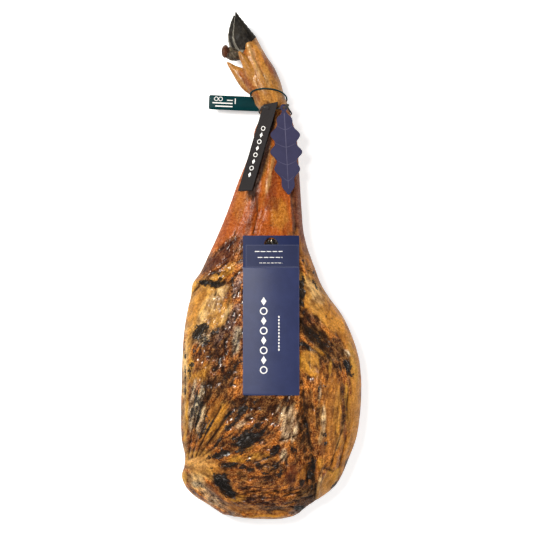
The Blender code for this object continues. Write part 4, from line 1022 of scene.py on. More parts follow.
def lump(name, shape, wrinkling=0.1):
    """A rounded lump as rings of latitude, wrinkled by folded noise."""
    middle, half_sizes = (np.asarray(part, float) for part in shape)
    latitude = np.linspace(-1, 1, 44)[1:-1, None] * math.pi / 2
    longitude = np.linspace(0, 2 * math.pi, 56, endpoint=False)[None, :]
    x = np.cos(latitude) * np.cos(longitude)
    y = np.cos(latitude) * np.sin(longitude)
    ball = np.stack([x, y, np.sin(latitude) + 0 * longitude], axis=-1)
    folds = 1 + wrinkling * (np.abs(billows(ball * 10, 6, 3, 41)) - 0.5)
    return tube_mesh(name, (middle + ball * half_sizes * folds[..., None]) * MM)


def union(mesh, additions):
    """The mesh joined with each addition by a Boolean union, applied in turn."""
    body = bpy.data.objects.new("joining", mesh)
    bpy.context.scene.collection.objects.link(body)
    for addition in additions:
        tool = bpy.data.objects.new("addition", addition)
        bpy.context.scene.collection.objects.link(tool)
        join = body.modifiers.new("join", "BOOLEAN")
        join.operation = "UNION"
        join.solver = "MANIFOLD"
        join.object = tool
        view = bpy.context.evaluated_depsgraph_get()
        joined = bpy.data.meshes.new_from_object(body.evaluated_get(view))
        body.modifiers.clear()
        body.data = joined
        bpy.data.objects.remove(tool, do_unlink=True)
    bpy.data.objects.remove(body, do_unlink=True)
    return joined


def hollowness(mesh):
    """How sunken each vertex is, in millimetres: how high its eased neighbours' mean lies above it."""
    places = vertex_values(mesh)
    edges = np.empty(len(mesh.edges) * 2, np.int32)
    mesh.edges.foreach_get("vertices", edges)
    a, b = edges.reshape(-1, 2).T
    size = len(places)
    count = np.bincount(a, minlength=size) + np.bincount(b, minlength=size)
    eased = places
    for _ in range(5):
        total = [np.bincount(a, part[b], size) + np.bincount(b, part[a], size) for part in eased.T]
        eased = np.stack(total, axis=-1) / np.maximum(count, 1)[:, None]
    return np.sum((eased - places) * vertex_values(mesh, "normal"), axis=1) / MM


class Net:
    """A node tree, with short calls that add a node and give back its output."""

    def __init__(self, tree):
        """Keeps the tree."""
        self.tree = tree

    def feed(self, entry, value):
        """An input set to a value, or linked from a socket."""
        if isinstance(value, bpy.types.NodeSocket):
            self.tree.links.new(value, entry)
        else:
            entry.default_value = value

    def node(self, kind, values=None, **settings):
        """A node with its settings, and its inputs set or linked by name or number."""
        node = self.tree.nodes.new("ShaderNode" + kind)
        for name, value in settings.items():
            setattr(node, name, value)
        for name, value in (values or {}).items():
            self.feed(node.inputs[name], value)
        return node

    def calc(self, operation, a, b=0.0, c=0.0):
        """One step of arithmetic."""
        return self.node("Math", {0: a, 1: b, 2: c}, operation=operation).outputs[0]

    def times(self, a, b):
        """a times b."""
        return self.calc("MULTIPLY", a, b)

    def plus(self, a, b):
        """a plus b."""
        return self.calc("ADD", a, b)

    def minus(self, a, b):
        """a minus b."""
        return self.calc("SUBTRACT", a, b)

    def times_plus(self, a, b, c):
        """a times b, plus c."""
        return self.calc("MULTIPLY_ADD", a, b, c)

    def dot(self, a, b):
        """The dot product of two vectors."""
        return self.node("VectorMath", {0: a, 1: b}, operation="DOT_PRODUCT").outputs["Value"]

    def remap(self, value, low, high, to_low=0.0, to_high=1.0):
        """The value's stretch from low to high moved to another, with smooth ends."""
        values = {"Value": value, "From Min": low, "From Max": high, "To Min": to_low, "To Max": to_high}
        return self.node("MapRange", values, interpolation_type="SMOOTHSTEP").outputs["Result"]

    def mix_value(self, share, a, b):
        """Two numbers mixed by a share."""
        return self.node("Mix", {0: share, 2: a, 3: b}, data_type="FLOAT").outputs[0]

    def mix(self, share, a, b, blend="MIX"):
        """Two colours mixed by a share."""
        a, b = (colour if isinstance(colour, bpy.types.NodeSocket) else (*colour, 1) for colour in (a, b))
        return self.node("Mix", {0: share, 6: a, 7: b}, data_type="RGBA", blend_type=blend).outputs[2]

    def scaled(self, colour, factors):
        """A colour with each part multiplied by a factor."""
        return self.mix(1.0, colour, factors, "MULTIPLY")

    def red_green_blue(self, colour):
        """A colour's three parts."""
        return self.node("SeparateColor", {0: colour}).outputs[:3]

    def noise(self, vector, scale, detail=2.0, roughness=0.5, distortion=0.0):
        """Smooth noise from about 0.3 to 0.7."""
        values = {"Vector": vector, "Scale": scale, "Detail": detail, "Roughness": roughness}
        return self.node("TexNoise", {**values, "Distortion": distortion}).outputs["Fac"]

    def attribute(self, name, output="Color"):
        """A value that the mesh carries at its vertices."""
        return self.node("Attribute", attribute_name=name).outputs[output]

    def place(self):
        """The point's place on the object, in metres."""
        return self.node("TexCoord").outputs["Object"]

    def camera_ray(self):
        """1 where the camera looks, and 0 for light and reflections."""
        return self.node("LightPath").outputs["Is Camera Ray"]

    def bump(self, height, strength, distance, **normal):
        """The normal tilted by a height."""
        values = {"Height": height, "Strength": strength, "Distance": distance, **normal}
        return self.node("Bump", values).outputs["Normal"]

    def use(self, group, **values):
        """A node group placed with its own values."""
        node = self.node("Group", node_tree=group)
        for name, value in values.items():
            self.feed(node.inputs[name], value)
        return node.outputs


def new_group(name, outputs, **inputs):
    """An empty node group, where an input is a number with that default, or a vector where it is None."""
    group = bpy.data.node_groups.new(name, "ShaderNodeTree")
    for label, default in inputs.items():
        kind = "NodeSocketVector" if default is None else "NodeSocketFloat"
        entry = group.interface.new_socket(label, in_out="INPUT", socket_type=kind)
        if default is not None:
            entry.default_value = default
    for label in outputs:
        group.interface.new_socket(label, in_out="OUTPUT", socket_type="NodeSocketFloat")
    given = group.nodes.new("NodeGroupInput").outputs
    return group, Net(group), given, group.nodes.new("NodeGroupOutput").inputs


def mottle_group():
    """Uneven tone: a large and a small noise, added about 0.5."""
    group, net, given, out = new_group("mottle", ["Tone"], Vector=None, Size=0.01, Contrast=1.0)
    scale = net.calc("DIVIDE", 1.0, given["Size"])
    large = net.noise(given["Vector"], scale, 4, 0.6, 0.4)
    small = net.noise(given["Vector"], net.times(scale, 4.7), 3, 0.6, 0.2)
    both = net.times_plus(small, 0.4, net.times(large, 0.6))
    net.feed(out["Tone"], net.plus(net.times(net.minus(both, 0.5), given["Contrast"]), 0.5))
    return group


def fibre_group():
    """Threads along a direction: noise drawn out along it, from turned copies blended by it."""
    group, net, given, out = new_group(
        "fibres", ["Threads"], Vector=None, Direction=None, Size=0.001, Stretch=0.2)
    scale = net.calc("DIVIDE", 1.0, given["Size"])
    height = net.node("SeparateXYZ", {0: given["Vector"]}).outputs["Z"]
    total = 0.0
    weights = 1e-4
    for turns in range(FIBRE_TURNS):
        angle = math.pi * turns / FIBRE_TURNS
        along = (math.cos(angle), math.sin(angle), 0.0)
        across = (-math.sin(angle), math.cos(angle), 0.0)
        stretched = net.node("CombineXYZ", {
            "X": net.times(net.dot(given["Vector"], along), given["Stretch"]),
            "Y": net.dot(given["Vector"], across),
            "Z": net.times_plus(height, 0.5, turns * 0.7),
        }).outputs[0]
        weight = net.calc("POWER", net.calc("ABSOLUTE", net.dot(given["Direction"], along)), 14.0)
        total = net.times_plus(net.noise(stretched, scale, 3, 0.6, 0.3), weight, total)
        weights = net.plus(weight, weights)
    net.feed(out["Threads"], net.calc("DIVIDE", total, weights))
    return group


def paper_group():
    """Paper: a height of fine matted fibres and a faint tone."""
    group, net, given, out = new_group("paper grain", ["Height", "Tone"], Vector=None, Size=0.0006)
    scale = net.calc("DIVIDE", 1.0, given["Size"])
    net.feed(out["Height"], net.noise(given["Vector"], scale, 4, 0.7, 1.2))
    broad = net.noise(given["Vector"], net.times(scale, 0.03), 3, 0.6)
    net.feed(out["Tone"], net.remap(broad, 0.3, 0.7))
    return group


def new_material(name, **shader_values):
    """A material with its Principled shader, whose uniform values are set on its own sockets."""
    made = bpy.data.materials.new(name)
    made.use_nodes = True
    shader = made.node_tree.nodes["Principled BSDF"]
    for label, value in shader_values.items():
        shader.inputs[label.replace("_", " ")].default_value = value
    return made, Net(made.node_tree), shader.inputs


def cured_meat_material(groups):
    """Meat, fat and skin: painted tone, mottled and threaded, with mould, painted shade in hollows, oil and
    fine relief.
    """
    made, net, shader = new_material("cured meat", Specular_IOR_Level=0.2)
    place = net.place()
    tone = net.attribute("tone")
    mould, hollow, oil = net.red_green_blue(net.attribute("marks"))
    rugged = net.attribute("rugged", "Fac")
    grain = {"Vector": place, "Direction": net.attribute("grain", "Vector")}
    coarse = net.use(groups["fibres"], **grain, Size=0.0032, Stretch=0.28)["Threads"]
    fine = net.use(groups["fibres"], **grain, Size=0.0018, Stretch=0.26)["Threads"]
    uneven = net.use(groups["mottle"], Vector=place, Size=0.012, Contrast=2.0)["Tone"]
    spots = net.use(groups["mottle"], Vector=place, Size=0.0032, Contrast=2.4)["Tone"]
    grit = net.noise(place, 440.0, 3, 0.75, 0.4)
    specks = net.plus(spots, grit)
    smooth = net.minus(1.0, rugged)
    strength = net.times_plus(net.times(rugged, rugged), 1.05, 0.1)

    deep = net.scaled(tone, (0.22, 0.13, 0.085))
    pore = net.scaled(tone, (0.5, 0.34, 0.22))
    gilding = net.remap(net.red_green_blue(tone)[0], 0.02, 0.2, 0.04, 0.36)
    light = net.mix(gilding, net.scaled(tone, (1.6, 1.6, 1.5)), (0.64, 0.42, 0.16))
    # The fibres' darker and paler tone. The threads, spots and specks also raise the bump below, so these
    # shades fall in its hollows and on its crests as painted shade and highlight.
    shades = [(uneven, 0.5, 0.2, 0.8, strength, deep), (uneven, 0.5, 0.85, 0.6, strength, light)]
    for threads, amount in ((coarse, 0.8), (fine, 0.9), (grit, 0.95)):
        shades.append((threads, 0.49, 0.445, amount, strength, deep))
        shades.append((threads, 0.52, 0.57, amount * 0.85, strength, light))
    shades.append((spots, 0.4, 0.15, 0.85, strength, deep))
    shades.append((specks, 1.02, 0.7, 0.75, smooth, pore))
    # Pale dots on the smooth skin's pimples: painted glints.
    shades.append((specks, 1.06, 1.35, 0.5, smooth, light))
    colour = tone
    for value, start, full, amount, where, shade in shades:
        colour = net.mix(net.times(net.remap(value, start, full, 0.0, amount), where), colour, shade)
    # Painted shade in hollows: sunken places darkened towards near black.
    colour = net.mix(net.times(hollow, 0.85), colour, (0.02, 0.009, 0.004))

    blot = net.times(net.noise(place, 130.0, 4, 0.6, 0.8), 0.9)
    ragged = net.times_plus(fine, 0.9, net.plus(net.noise(place, 420.0, 4, 0.62, 0.6), blot))
    coverage = net.remap(net.minus(net.plus(mould, ragged), 1.86), -0.03, 0.08)
    greyness = net.times(net.remap(fine, 0.53, 0.6), net.remap(uneven, 0.45, 0.65, 0.15, 1.0))
    bloom = net.mix(net.times(greyness, 0.6), (0.0085, 0.0068, 0.0058), (0.3, 0.285, 0.275))
    net.feed(shader["Base Color"], net.mix(net.times(coverage, 0.95), colour, bloom))
    rough = net.remap(net.noise(place, 240.0, 3, 0.6), 0.3, 0.7, 0.32, 0.55)
    net.feed(shader["Roughness"], net.mix_value(coverage, rough, 0.5))

    wet = net.times(oil, net.minus(1.0, net.times(coverage, 0.4)))
    beads = net.times(net.remap(fine, 0.46, 0.56, 0.2, 1.0), net.remap(grit, 0.42, 0.54, 0.45, 1.0))
    beads = net.mix_value(net.remap(rugged, 0.12, 0.36), net.remap(spots, 0.42, 0.6, 0.12, 1.0), beads)
    net.feed(shader["Coat Weight"], net.times(wet, beads))
    net.feed(shader["Coat Roughness"], net.remap(rugged, 0.12, 0.5, 0.34, 0.17))

    drawn_out = net.node("Mapping", {"Vector": place, "Scale": (1.0, 0.55, 1.0)}).outputs[0]
    skin = net.calc("ABSOLUTE", net.minus(net.noise(drawn_out, 430.0, 3, 0.65, 0.5), 0.5))
    height = net.times(spots, 2.4)
    for value, amount in ((coarse, 4.2), (fine, 3.0), (grit, 1.8)):
        height = net.times_plus(value, amount, height)
    height = net.times(height, net.times_plus(rugged, 0.95, 0.08))
    height = net.times_plus(skin, 3.0, height)
    height = net.times_plus(net.times(specks, net.minus(0.7, rugged)), 2.2, height)
    net.feed(shader["Normal"], net.bump(height, 1.0, 0.001))
    return made


def horn_material(groups):
    """Horn: near black with growth lines, worn pale where the wear attribute is high."""
    made, net, shader = new_material("horn", Specular_IOR_Level=0.12)
    place = net.place()
    grain = {"Vector": place, "Direction": net.attribute("grain", "Vector")}
    threads = net.use(groups["fibres"], **grain, Size=0.0018, Stretch=0.15)["Threads"]
    uneven = net.use(groups["mottle"], Vector=place, Size=0.009, Contrast=2.0)["Tone"]
    colour = net.mix(net.remap(uneven, 0.3, 0.8), (0.005, 0.004, 0.0034), (0.017, 0.0135, 0.01))
    colour = net.mix(net.remap(threads, 0.52, 0.68, 0.0, 0.5), colour, (0.06, 0.05, 0.038))
    worn = net.times_plus(threads, 1.8, net.attribute("wear", "Fac"))
    colour = net.mix(net.remap(worn, 1.45, 2.1, 0.0, 0.85), colour, (0.25, 0.23, 0.19))
    net.feed(shader["Base Color"], colour)
    net.feed(shader["Roughness"], net.remap(uneven, 0.3, 0.7, 0.38, 0.62))
    normal = net.bump(threads, 0.8, 0.0012)
    normal = net.bump(net.noise(place, 700.0, 4, 0.65), 0.5, 0.0005, Normal=normal)
    net.feed(shader["Normal"], normal)
    return made


def card_material(groups, name, colour, worn_colour, roughness, shine=0.12):
    """Printed card: its colour, faintly uneven, with a matted paper surface."""
    made, net, shader = new_material(name, Specular_IOR_Level=shine)
    grain, tone = net.use(groups["paper"], Vector=net.place(), Size=0.0006)
    darker = tuple(part * 0.92 for part in colour)
    paler = tuple(part * 1.08 for part in colour)
    shade = net.mix(tone, darker, paler)
    shade = net.mix(net.remap(grain, 0.45, 0.75, 0.0, 0.12), shade, worn_colour)
    worn = net.times(net.attribute("edge", "Fac"), net.remap(grain, 0.35, 0.6, 0.3, 0.9))
    net.feed(shader["Base Color"], net.mix(worn, shade, worn_colour))
    net.feed(shader["Roughness"], net.remap(grain, 0.3, 0.7, roughness - 0.06, roughness + 0.06))
    net.feed(shader["Normal"], net.bump(grain, 0.35, 0.00012))
    return made


def varied_material(name, vary, colours, roughness, bumps=None, **shader_values):
    """A material whose colour and roughness follow one noise, between two of each."""
    made, net, shader = new_material(name, **shader_values)
    value, *stretch = vary(net)
    net.feed(shader["Base Color"], net.mix(net.remap(value, *stretch), *colours))
    net.feed(shader["Roughness"], net.remap(value, 0.3, 0.7, *roughness))
    if bumps:
        net.feed(shader["Normal"], bumps(net, value))
    return made


def plain_materials(groups):
    """Off-white ink, satin green plastic, waxed black string and tarnished wire."""
    def paper(net):
        """The paper's height, and the stretch of it that the colour follows."""
        return net.use(groups["paper"], Vector=net.place(), Size=0.0006)["Height"], 0.3, 0.7

    def mottle(size, contrast):
        """An uneven tone, and the stretch of it that the colour follows."""
        return lambda net: (
            net.use(groups["mottle"], Vector=net.place(), Size=size, Contrast=contrast)["Tone"], 0.3, 0.7)

    def tarnish(net):
        """Fine noise, and the stretch of it that the colour follows."""
        return net.noise(net.place(), 900.0, 3, 0.6), 0.4, 0.7

    def pebbled(net, _):
        """A fine pebbled skin."""
        return net.bump(net.noise(net.place(), 1500.0, 2, 0.5), 0.25, 0.0001)

    def hairy(net, value):
        """The tone itself as a height."""
        return net.bump(value, 0.6, 0.0002)

    return {
        "ink": varied_material("pale ink", paper, ((0.62, 0.61, 0.6), (0.84, 0.83, 0.82)), (0.45, 0.6)),
        "plastic": varied_material(
            "seal plastic", mottle(0.02, 1.2), ((0.0002, 0.022, 0.026), (0.0003, 0.029, 0.034)),
            (0.36, 0.48), pebbled, Specular_IOR_Level=0.05),
        "string": varied_material(
            "black string", mottle(0.0012, 2.0), ((0.006, 0.0055, 0.006), (0.026, 0.024, 0.025)),
            (0.6, 0.85), hairy, Sheen_Weight=0.25),
        "steel": varied_material(
            "steel pin", tarnish, ((0.62, 0.58, 0.5), (0.4, 0.34, 0.25)), (0.22, 0.45), Metallic=1.0),
    }


def floor_material():
    """Plain pale studio floor, overexposed for the camera alone."""
    made, net, shader = new_material("studio floor", Roughness=0.9)
    grain = net.noise(net.place(), 40.0, 3, 0.5)
    net.feed(shader["Base Color"], net.mix(grain, (0.84, 0.84, 0.84), (0.86, 0.86, 0.86)))
    shader["Emission Color"].default_value = (1, 1, 1, 1)
    net.feed(shader["Emission Strength"], net.times(net.camera_ray(), 0.48))
    return made


def tag_frame(top, bottom, pitch, roll, width):
    """The tag's own frame, length and width: origin at its top end, -Y down the tag, +Z off the meat.

    The frame is raised until the tag's underside just clears the meat, found in a few rounds.
    """
    run = Vector((bottom[0] - top[0], bottom[1] - top[1], 0)) * MM
    turn = math.atan2(run.x, -run.y)
    matrix = Matrix.Rotation(turn, 4, "Z") @ Matrix.Rotation(pitch, 4, "X") @ Matrix.Rotation(roll, 4, "Y")
    matrix.translation = Vector((top[0] * MM, top[1] * MM, TAG_START_HEIGHT))
    side = np.sin(np.linspace(-1, 1, 121) * math.pi / 2)
    t = np.linspace(0.5, 1, 400)[:, None]
    surface = ham_point(t + 0 * side, side + 0 * t, True).reshape(-1, 3)
    for _ in range(LAYING_ROUNDS):
        x, y, z = seen_from(matrix, surface).T
        inside = (np.abs(x) < width / 2) & (y < 0) & (y > -run.length)
        lift = z[inside].max() + TAG_CLEARANCE + TAG_THICKNESS / 2
        matrix = Matrix.Translation((0, 0, lift / matrix[2][2])) @ matrix
    return matrix, run.length, width


def ankle_loop(y, tilt, stand_off):
    """A closed loop on the skin round the ankle, higher up the foot on the top side by tilt."""
    angle = np.linspace(0, 2 * math.pi, LOOP_STEPS, endpoint=False)
    along = np.linspace(0, 1, 2001)
    middle_y = across_outline(OUTLINE, along, 0)[2]
    t = np.interp((y + tilt * np.sin(angle)) / MM, middle_y, along)
    skin = ham_point(t, -np.cos(angle), np.sin(angle) > -1e-9)
    out = skin - (skin.max(axis=0) + skin.min(axis=0)) / 2
    out[:, 1] = 0
    return skin + unit(out) * stand_off


def make_ham(fibres, finish, strip, leaf):
    """The whole ham with its foot, and the values that its material reads at each vertex."""
    mesh = union(tube_mesh("ham_meat", ham_rings(fibres, strip, leaf)), [
        finger("near_dewclaw", NEAR_DEWCLAW),
        finger("far_dewclaw", FAR_DEWCLAW),
        lump("heel", HEEL, 0.16),
        lump("heel_pad", HEEL_PAD, 0.16),
        lump("heel_bulb", HEEL_BULB),
        lump("toe_skin", TOE_SKIN, 0.02),
        finger("dewclaw_web", DEWCLAW_WEB),
    ])
    mesh.shade_smooth()
    places = vertex_values(mesh)
    rows, skin_edge = painted(places, fibres)
    # Painted shade: how sunken each vertex is, which the material darkens.
    hollow = smooth_step(hollowness(mesh), 0.08, 0.8)
    mould = mould_and_painted_shade(places, fibres, skin_edge)
    ones = np.ones(len(places))
    vertex_attribute(mesh, "tone", "FLOAT_COLOR", np.column_stack([rows[:, :3], ones]))
    vertex_attribute(mesh, "marks", "FLOAT_COLOR", np.column_stack([mould / 1.3, hollow, rows[:, 4], ones]))
    vertex_attribute(mesh, "rugged", "FLOAT", rows[:, 3])
    direction = grain_direction(*places[:, :2].T / MM)
    vertex_attribute(mesh, "grain", "FLOAT_VECTOR", np.column_stack([direction, 0 * ones]))
    add_piece("ham_meat", mesh, finish, "cured_meat", "ham")


def make_claw(name, shape, finish, pale_side):
    """A claw with growth ridges, whose ribs run from its sole edge to its front edge, and its wear."""
    outline, top, rim, under = shape
    side, upper = ring_sides(CLAW_ACROSS, CLAW_ACROSS // 2)
    t = np.linspace(0, 1, CLAW_RIBS)[:, None] + 0 * side
    side = side + 0 * t
    x, y, middle = across_outline(outline, t, side)
    edge = through(rim, middle)
    end = np.where(upper, through(top, middle), through(under, middle))
    rings = np.stack([x, y, edge + (end - edge) * dome(side, 2.6)], axis=-1)
    ridges = 0.12 * np.sin(t * 46 + 1.2 * billows(rings, 14, 2, 51))
    ridges += 0.22 * billows(rings * (1, 1, 0.3), 3, 2, 52)
    ridges *= smooth_step(t, 0, 0.06) * (1 - smooth_step(t, 0.9, 1))
    mesh = tube_mesh(name, (rings + ring_normals(rings) * ridges[..., None]) * MM)
    wear = np.exp(-((side - pale_side) / 0.19) ** 2)
    wear += 0.6 * np.exp(-(t / 0.05) ** 2) + 0.4 * smooth_step(t, 0.86, 1)
    vertex_attribute(mesh, "wear", "FLOAT", wear.ravel())
    vertex_attribute(mesh, "grain", "FLOAT_VECTOR", np.tile(HORN_GRAIN, (wear.size, 1)))
    add_piece(name + "_horn", mesh, finish, "horn", name)


def bowed_sheet(name, width, near_y, far_y, lift, thickness, wave=0.0):
    """A layer of the label as a rounded flat profile carried along the ham on the card's bowed surface."""
    side = np.sin(np.linspace(-1, 1, 61) * math.pi / 2 * 0.97) / math.sin(math.pi / 2 * 0.97)
    corner = np.sqrt(np.clip(1 - ((np.abs(side) - 0.994) / 0.006).clip(0, 1) ** 2, 0, 1))
    sides = np.concatenate([side, side[::-1][1:-1]])
    height = np.concatenate([0.5 + 0.5 * corner, (0.5 - 0.5 * corner)[::-1][1:-1]])
    along = np.linspace(0, 1, 121)[:, None]
    ends = np.sqrt(np.clip(1 - ((np.abs(along * 2 - 1) - 0.998) / 0.002).clip(0, 1) ** 2, 0.05, 1))
    x = sides * width / 2 + 0 * along
    ripple = wave * (np.sin(x / (7 * MM) + 1) * 0.6 + np.sin(x / (3.1 * MM)) * 0.4)
    y = near_y + (far_y - near_y) * along + ripple * (1 - along) ** 8
    z = label_floor(x, y) + lift + thickness * (0.5 + (height - 0.5) * ends)
    mesh = tube_mesh(name, np.stack([x, y, z], axis=-1))
    rim = np.exp(-((1 - np.abs(sides)) * width / 2 / (0.5 * MM)) ** 2) + 0 * along
    for from_end in (y - near_y, far_y - y):
        rim = np.maximum(rim, np.exp(-(from_end / (0.6 * MM)) ** 2))
    vertex_attribute(mesh, "edge", "FLOAT", rim.ravel())
    return mesh


def on_label(lift):
    """Places on the label in millimetres, as points just above the layer at that lift."""
    def surface(places, extra):
        """Points at the places, extra above the rest."""
        x, y = places.T * MM
        return np.column_stack([x, y, label_floor(x, y) + lift + PRINT_GAP + extra])
    return surface


def on_plate(matrix, thickness):
    """Places on a flat plate in millimetres of its own frame, as points just above it."""
    turn = np.array(matrix)

    def surface(places, extra):
        """Points at the places, extra above the rest."""
        z = np.full(len(places), thickness / 2 + PRINT_GAP + extra)
        return np.column_stack([places * MM, z]) @ turn[:3, :3].T + turn[:3, 3]
    return surface


def print_piece(name, finish, slot, *prints):
    """Thin strips in one piece, from pairs of a surface and its lines of (points, half widths)."""
    points, faces, offset = [], [], 0
    for surface, line, half in [(surface, *line) for surface, lines in prints for line in lines]:
        closed = np.allclose(line[0], line[-1])
        tangent = np.gradient(line, axis=0)
        if closed:
            tangent[0] = tangent[-1] = line[1] - line[-2]
        tangent = unit(tangent)
        beside = np.stack([-tangent[:, 1], tangent[:, 0]], axis=-1)
        beside = beside * np.broadcast_to(half, len(line))[:, None]
        left, right = line + beside, line - beside
        rows = [surface(edge, lift) for edge, lift in
                ((left, 0), (right, 0), (right, PRINT_THICKNESS), (left, PRINT_THICKNESS))]
        index = offset + np.arange(len(line) * 4).reshape(-1, 4)
        faces += tube_faces(index)
        if not closed:
            faces += [index[0][::-1].tolist(), index[-1].tolist()]
        points.append(np.stack(rows, axis=1).reshape(-1, 3))
        offset += index.size
    add_piece(name, mesh_from(name, np.concatenate(points), faces), finish, slot)


def bar(start, end, half_width, steps=24):
    """A straight bar between two points, as (points, half widths)."""
    share = np.linspace(0, 1, steps)[:, None]
    return np.asarray(start) * (1 - share) + np.asarray(end) * share, half_width


def ring_line(centre, radius, half_width, steps=40):
    """A ring, as (points, half widths)."""
    angle = np.linspace(0, 2 * math.pi, steps + 1)
    return np.asarray(centre) + radius * np.stack([np.cos(angle), np.sin(angle)], axis=-1), half_width


def lozenge(centre, half_length, half_width, steps=13):
    """A lozenge standing along y, as a line with half widths that rise and fall."""
    share = np.linspace(-1, 1, steps)
    points = np.asarray(centre) + np.stack([0 * share, share * half_length], axis=-1)
    return points, np.maximum(half_width * (1 - np.abs(share)), half_width * 0.02)


def ornaments(x, first, step, ring, diamond):
    """Eight rings and lozenges by turns along a line."""
    places = [(x, first + i * step) for i in range(8)]
    return [lozenge(place, *diamond) if i % 2 else ring_line(place, *ring) for i, place in enumerate(places)]


def make_label(finishes):
    """The insert and the sleeve with their print."""
    above_card = CARD_THICKNESS + LAYER_GAP
    sleeve_top = LABEL_TOP_Y - SLEEVE_BELOW_TOP
    insert = bowed_sheet("label_insert_card", INSERT_WIDTH, sleeve_top + LAYER_GAP,
                         LABEL_TOP_Y - INSERT_BELOW_TOP, above_card, INSERT_THICKNESS)
    insert.transform(Matrix.Translation((INSERT_SHIFT, 0, 0)))
    add_piece("label_insert_card", insert, finishes["insert card"], "navy_card", "label_insert")
    sleeve = bowed_sheet("label_sleeve_card", LABEL_WIDTH, SLEEVE_BOTTOM_Y, sleeve_top, above_card,
                         SLEEVE_THICKNESS, SLEEVE_WAVE)
    add_piece("label_sleeve_card", sleeve, finishes["sleeve card"], "navy_card", "label_sleeve")
    marks = ornaments(*LABEL_ROW)
    marks += [bar((10.5, 56 + i * 4.4), (10.5, 58.6 + i * 4.4), 0.9, 4) for i in range(11)]
    dashes = []
    for y, reach, count, half_width in LABEL_DASHES:
        step = 2 * reach / count
        starts = [2 - reach + i * step for i in range(count)]
        dashes += [bar((start, y), (start + step * 0.78, y), half_width, 6) for start in starts]
    print_piece("label_print", finishes["ink"], "navy_card",
                (on_label(above_card + SLEEVE_THICKNESS), marks),
                (on_label(above_card + INSERT_THICKNESS), dashes))


def make_tags(finishes, strip, leaf):
    """A row of small ornaments up the strip tag, and the veins of the leaf."""
    row = (on_plate(strip[0], TAG_THICKNESS), ornaments(*STRIP_ROW))
    print_piece("strip_print", finishes["ink"], "black_card", row)
    tip = leaf[1] / MM
    stalk = np.linspace(14, tip * 0.93, 40)
    veins = [(np.stack([0 * stalk, -stalk], axis=-1), 0.75 * (1 - 0.7 * (stalk - 14) / tip))]
    share = np.linspace(0, 1, 16)
    for start, reach in LEAF_VEINS:
        for hand in (-1, 1):
            vein = np.stack([hand * reach * share, -start - 3 + 7 * share**1.4], axis=-1)
            veins.append((vein, 0.42 * (1 - 0.75 * share)))
    print_piece("leaf_veins", finishes["vein ink"], "slate_card", (on_plate(leaf[0], TAG_THICKNESS), veins))


def cut_askew(mesh, tag):
    """Both ends of a tag slanted: their corners move along it by their place across it times a slope."""
    matrix, length, _ = tag
    turn = np.array(matrix)
    places = vertex_values(mesh)
    x, y, _ = ((places - turn[:3, 3]) @ turn[:3, :3]).T
    slope = np.where(y > -MM, TOP_END_SLOPE, 0) + np.where(y < MM - length, LOW_END_SLOPE, 0)
    return places + (slope * x)[:, None] * turn[:3, 1]


def cut_short(mesh):
    """The card's lower end moved up to the sleeve's."""
    places = vertex_values(mesh)
    places[:, 1] = np.maximum(places[:, 1], SLEEVE_BOTTOM_Y + 0.2 * MM)
    return places


def bevelled_copy(node, name, finish, slot, width, places=None):
    """A node's mesh with its loose triangles merged, its flat faces whole and its edges rounded."""
    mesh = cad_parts[node].data.copy()
    if places:
        mesh.vertices.foreach_set("co", places(mesh).ravel())
        mesh.update()
    shell = bmesh.new()
    shell.from_mesh(mesh)
    bmesh.ops.remove_doubles(shell, verts=shell.verts, dist=1e-6)
    bmesh.ops.dissolve_limit(shell, angle_limit=math.radians(1), verts=shell.verts, edges=shell.edges)
    shell.to_mesh(mesh)
    shell.free()
    rounding = add_piece(name, mesh, finish, slot, node).modifiers.new("rounding", "BEVEL")
    rounding.width = width
    rounding.segments = 2
    rounding.limit_method = "ANGLE"


def square_to_loop(line):
    """Two unit vectors square to a closed line at each point: away from its middle, and across that."""
    tangent = unit(np.roll(line, -1, axis=0) - np.roll(line, 1, axis=0))
    out = line - line.mean(axis=0)
    out = unit(out - np.sum(out * tangent, axis=1, keepdims=True) * tangent)
    return out, np.cross(tangent, out)


def loop_mesh(name, loop, radius, sides):
    """A round bar along a closed loop, eased through its points."""
    rows = np.column_stack([np.arange(len(loop) + 1), np.vstack([loop, loop[:1]])])
    line = through(rows, np.linspace(0, len(loop), len(loop) * 5 + 1))[:-1]
    return tube_mesh(name, line[:, None] + spokes(*square_to_loop(line), sides) * radius, True)


def rounded_plate(name, size, corner):
    """A plate with round corners, as rings from its underside over its soft edge to its top."""
    length, width, thickness = size
    outline = []
    for i, (sx, sy) in enumerate(((1, 1), (-1, 1), (-1, -1), (1, -1))):
        angle = np.linspace(0, math.pi / 2, 9) + i * math.pi / 2
        centre = (sx * (length / 2 - corner), sy * (width / 2 - corner))
        outline.append(np.asarray(centre) + corner * np.stack([np.cos(angle), np.sin(angle)], axis=-1))
    outline = np.concatenate(outline)
    rings = []
    for inset, height in PLATE_EDGE:
        shrink = PLATE_CAP
        if inset is not None:
            shrink = 1 - inset * PLATE_SOFTNESS / np.array([length / 2, width / 2])
        rings.append(np.column_stack([outline * shrink, np.full(len(outline), height * thickness)]))
    return tube_mesh(name, np.stack(rings))


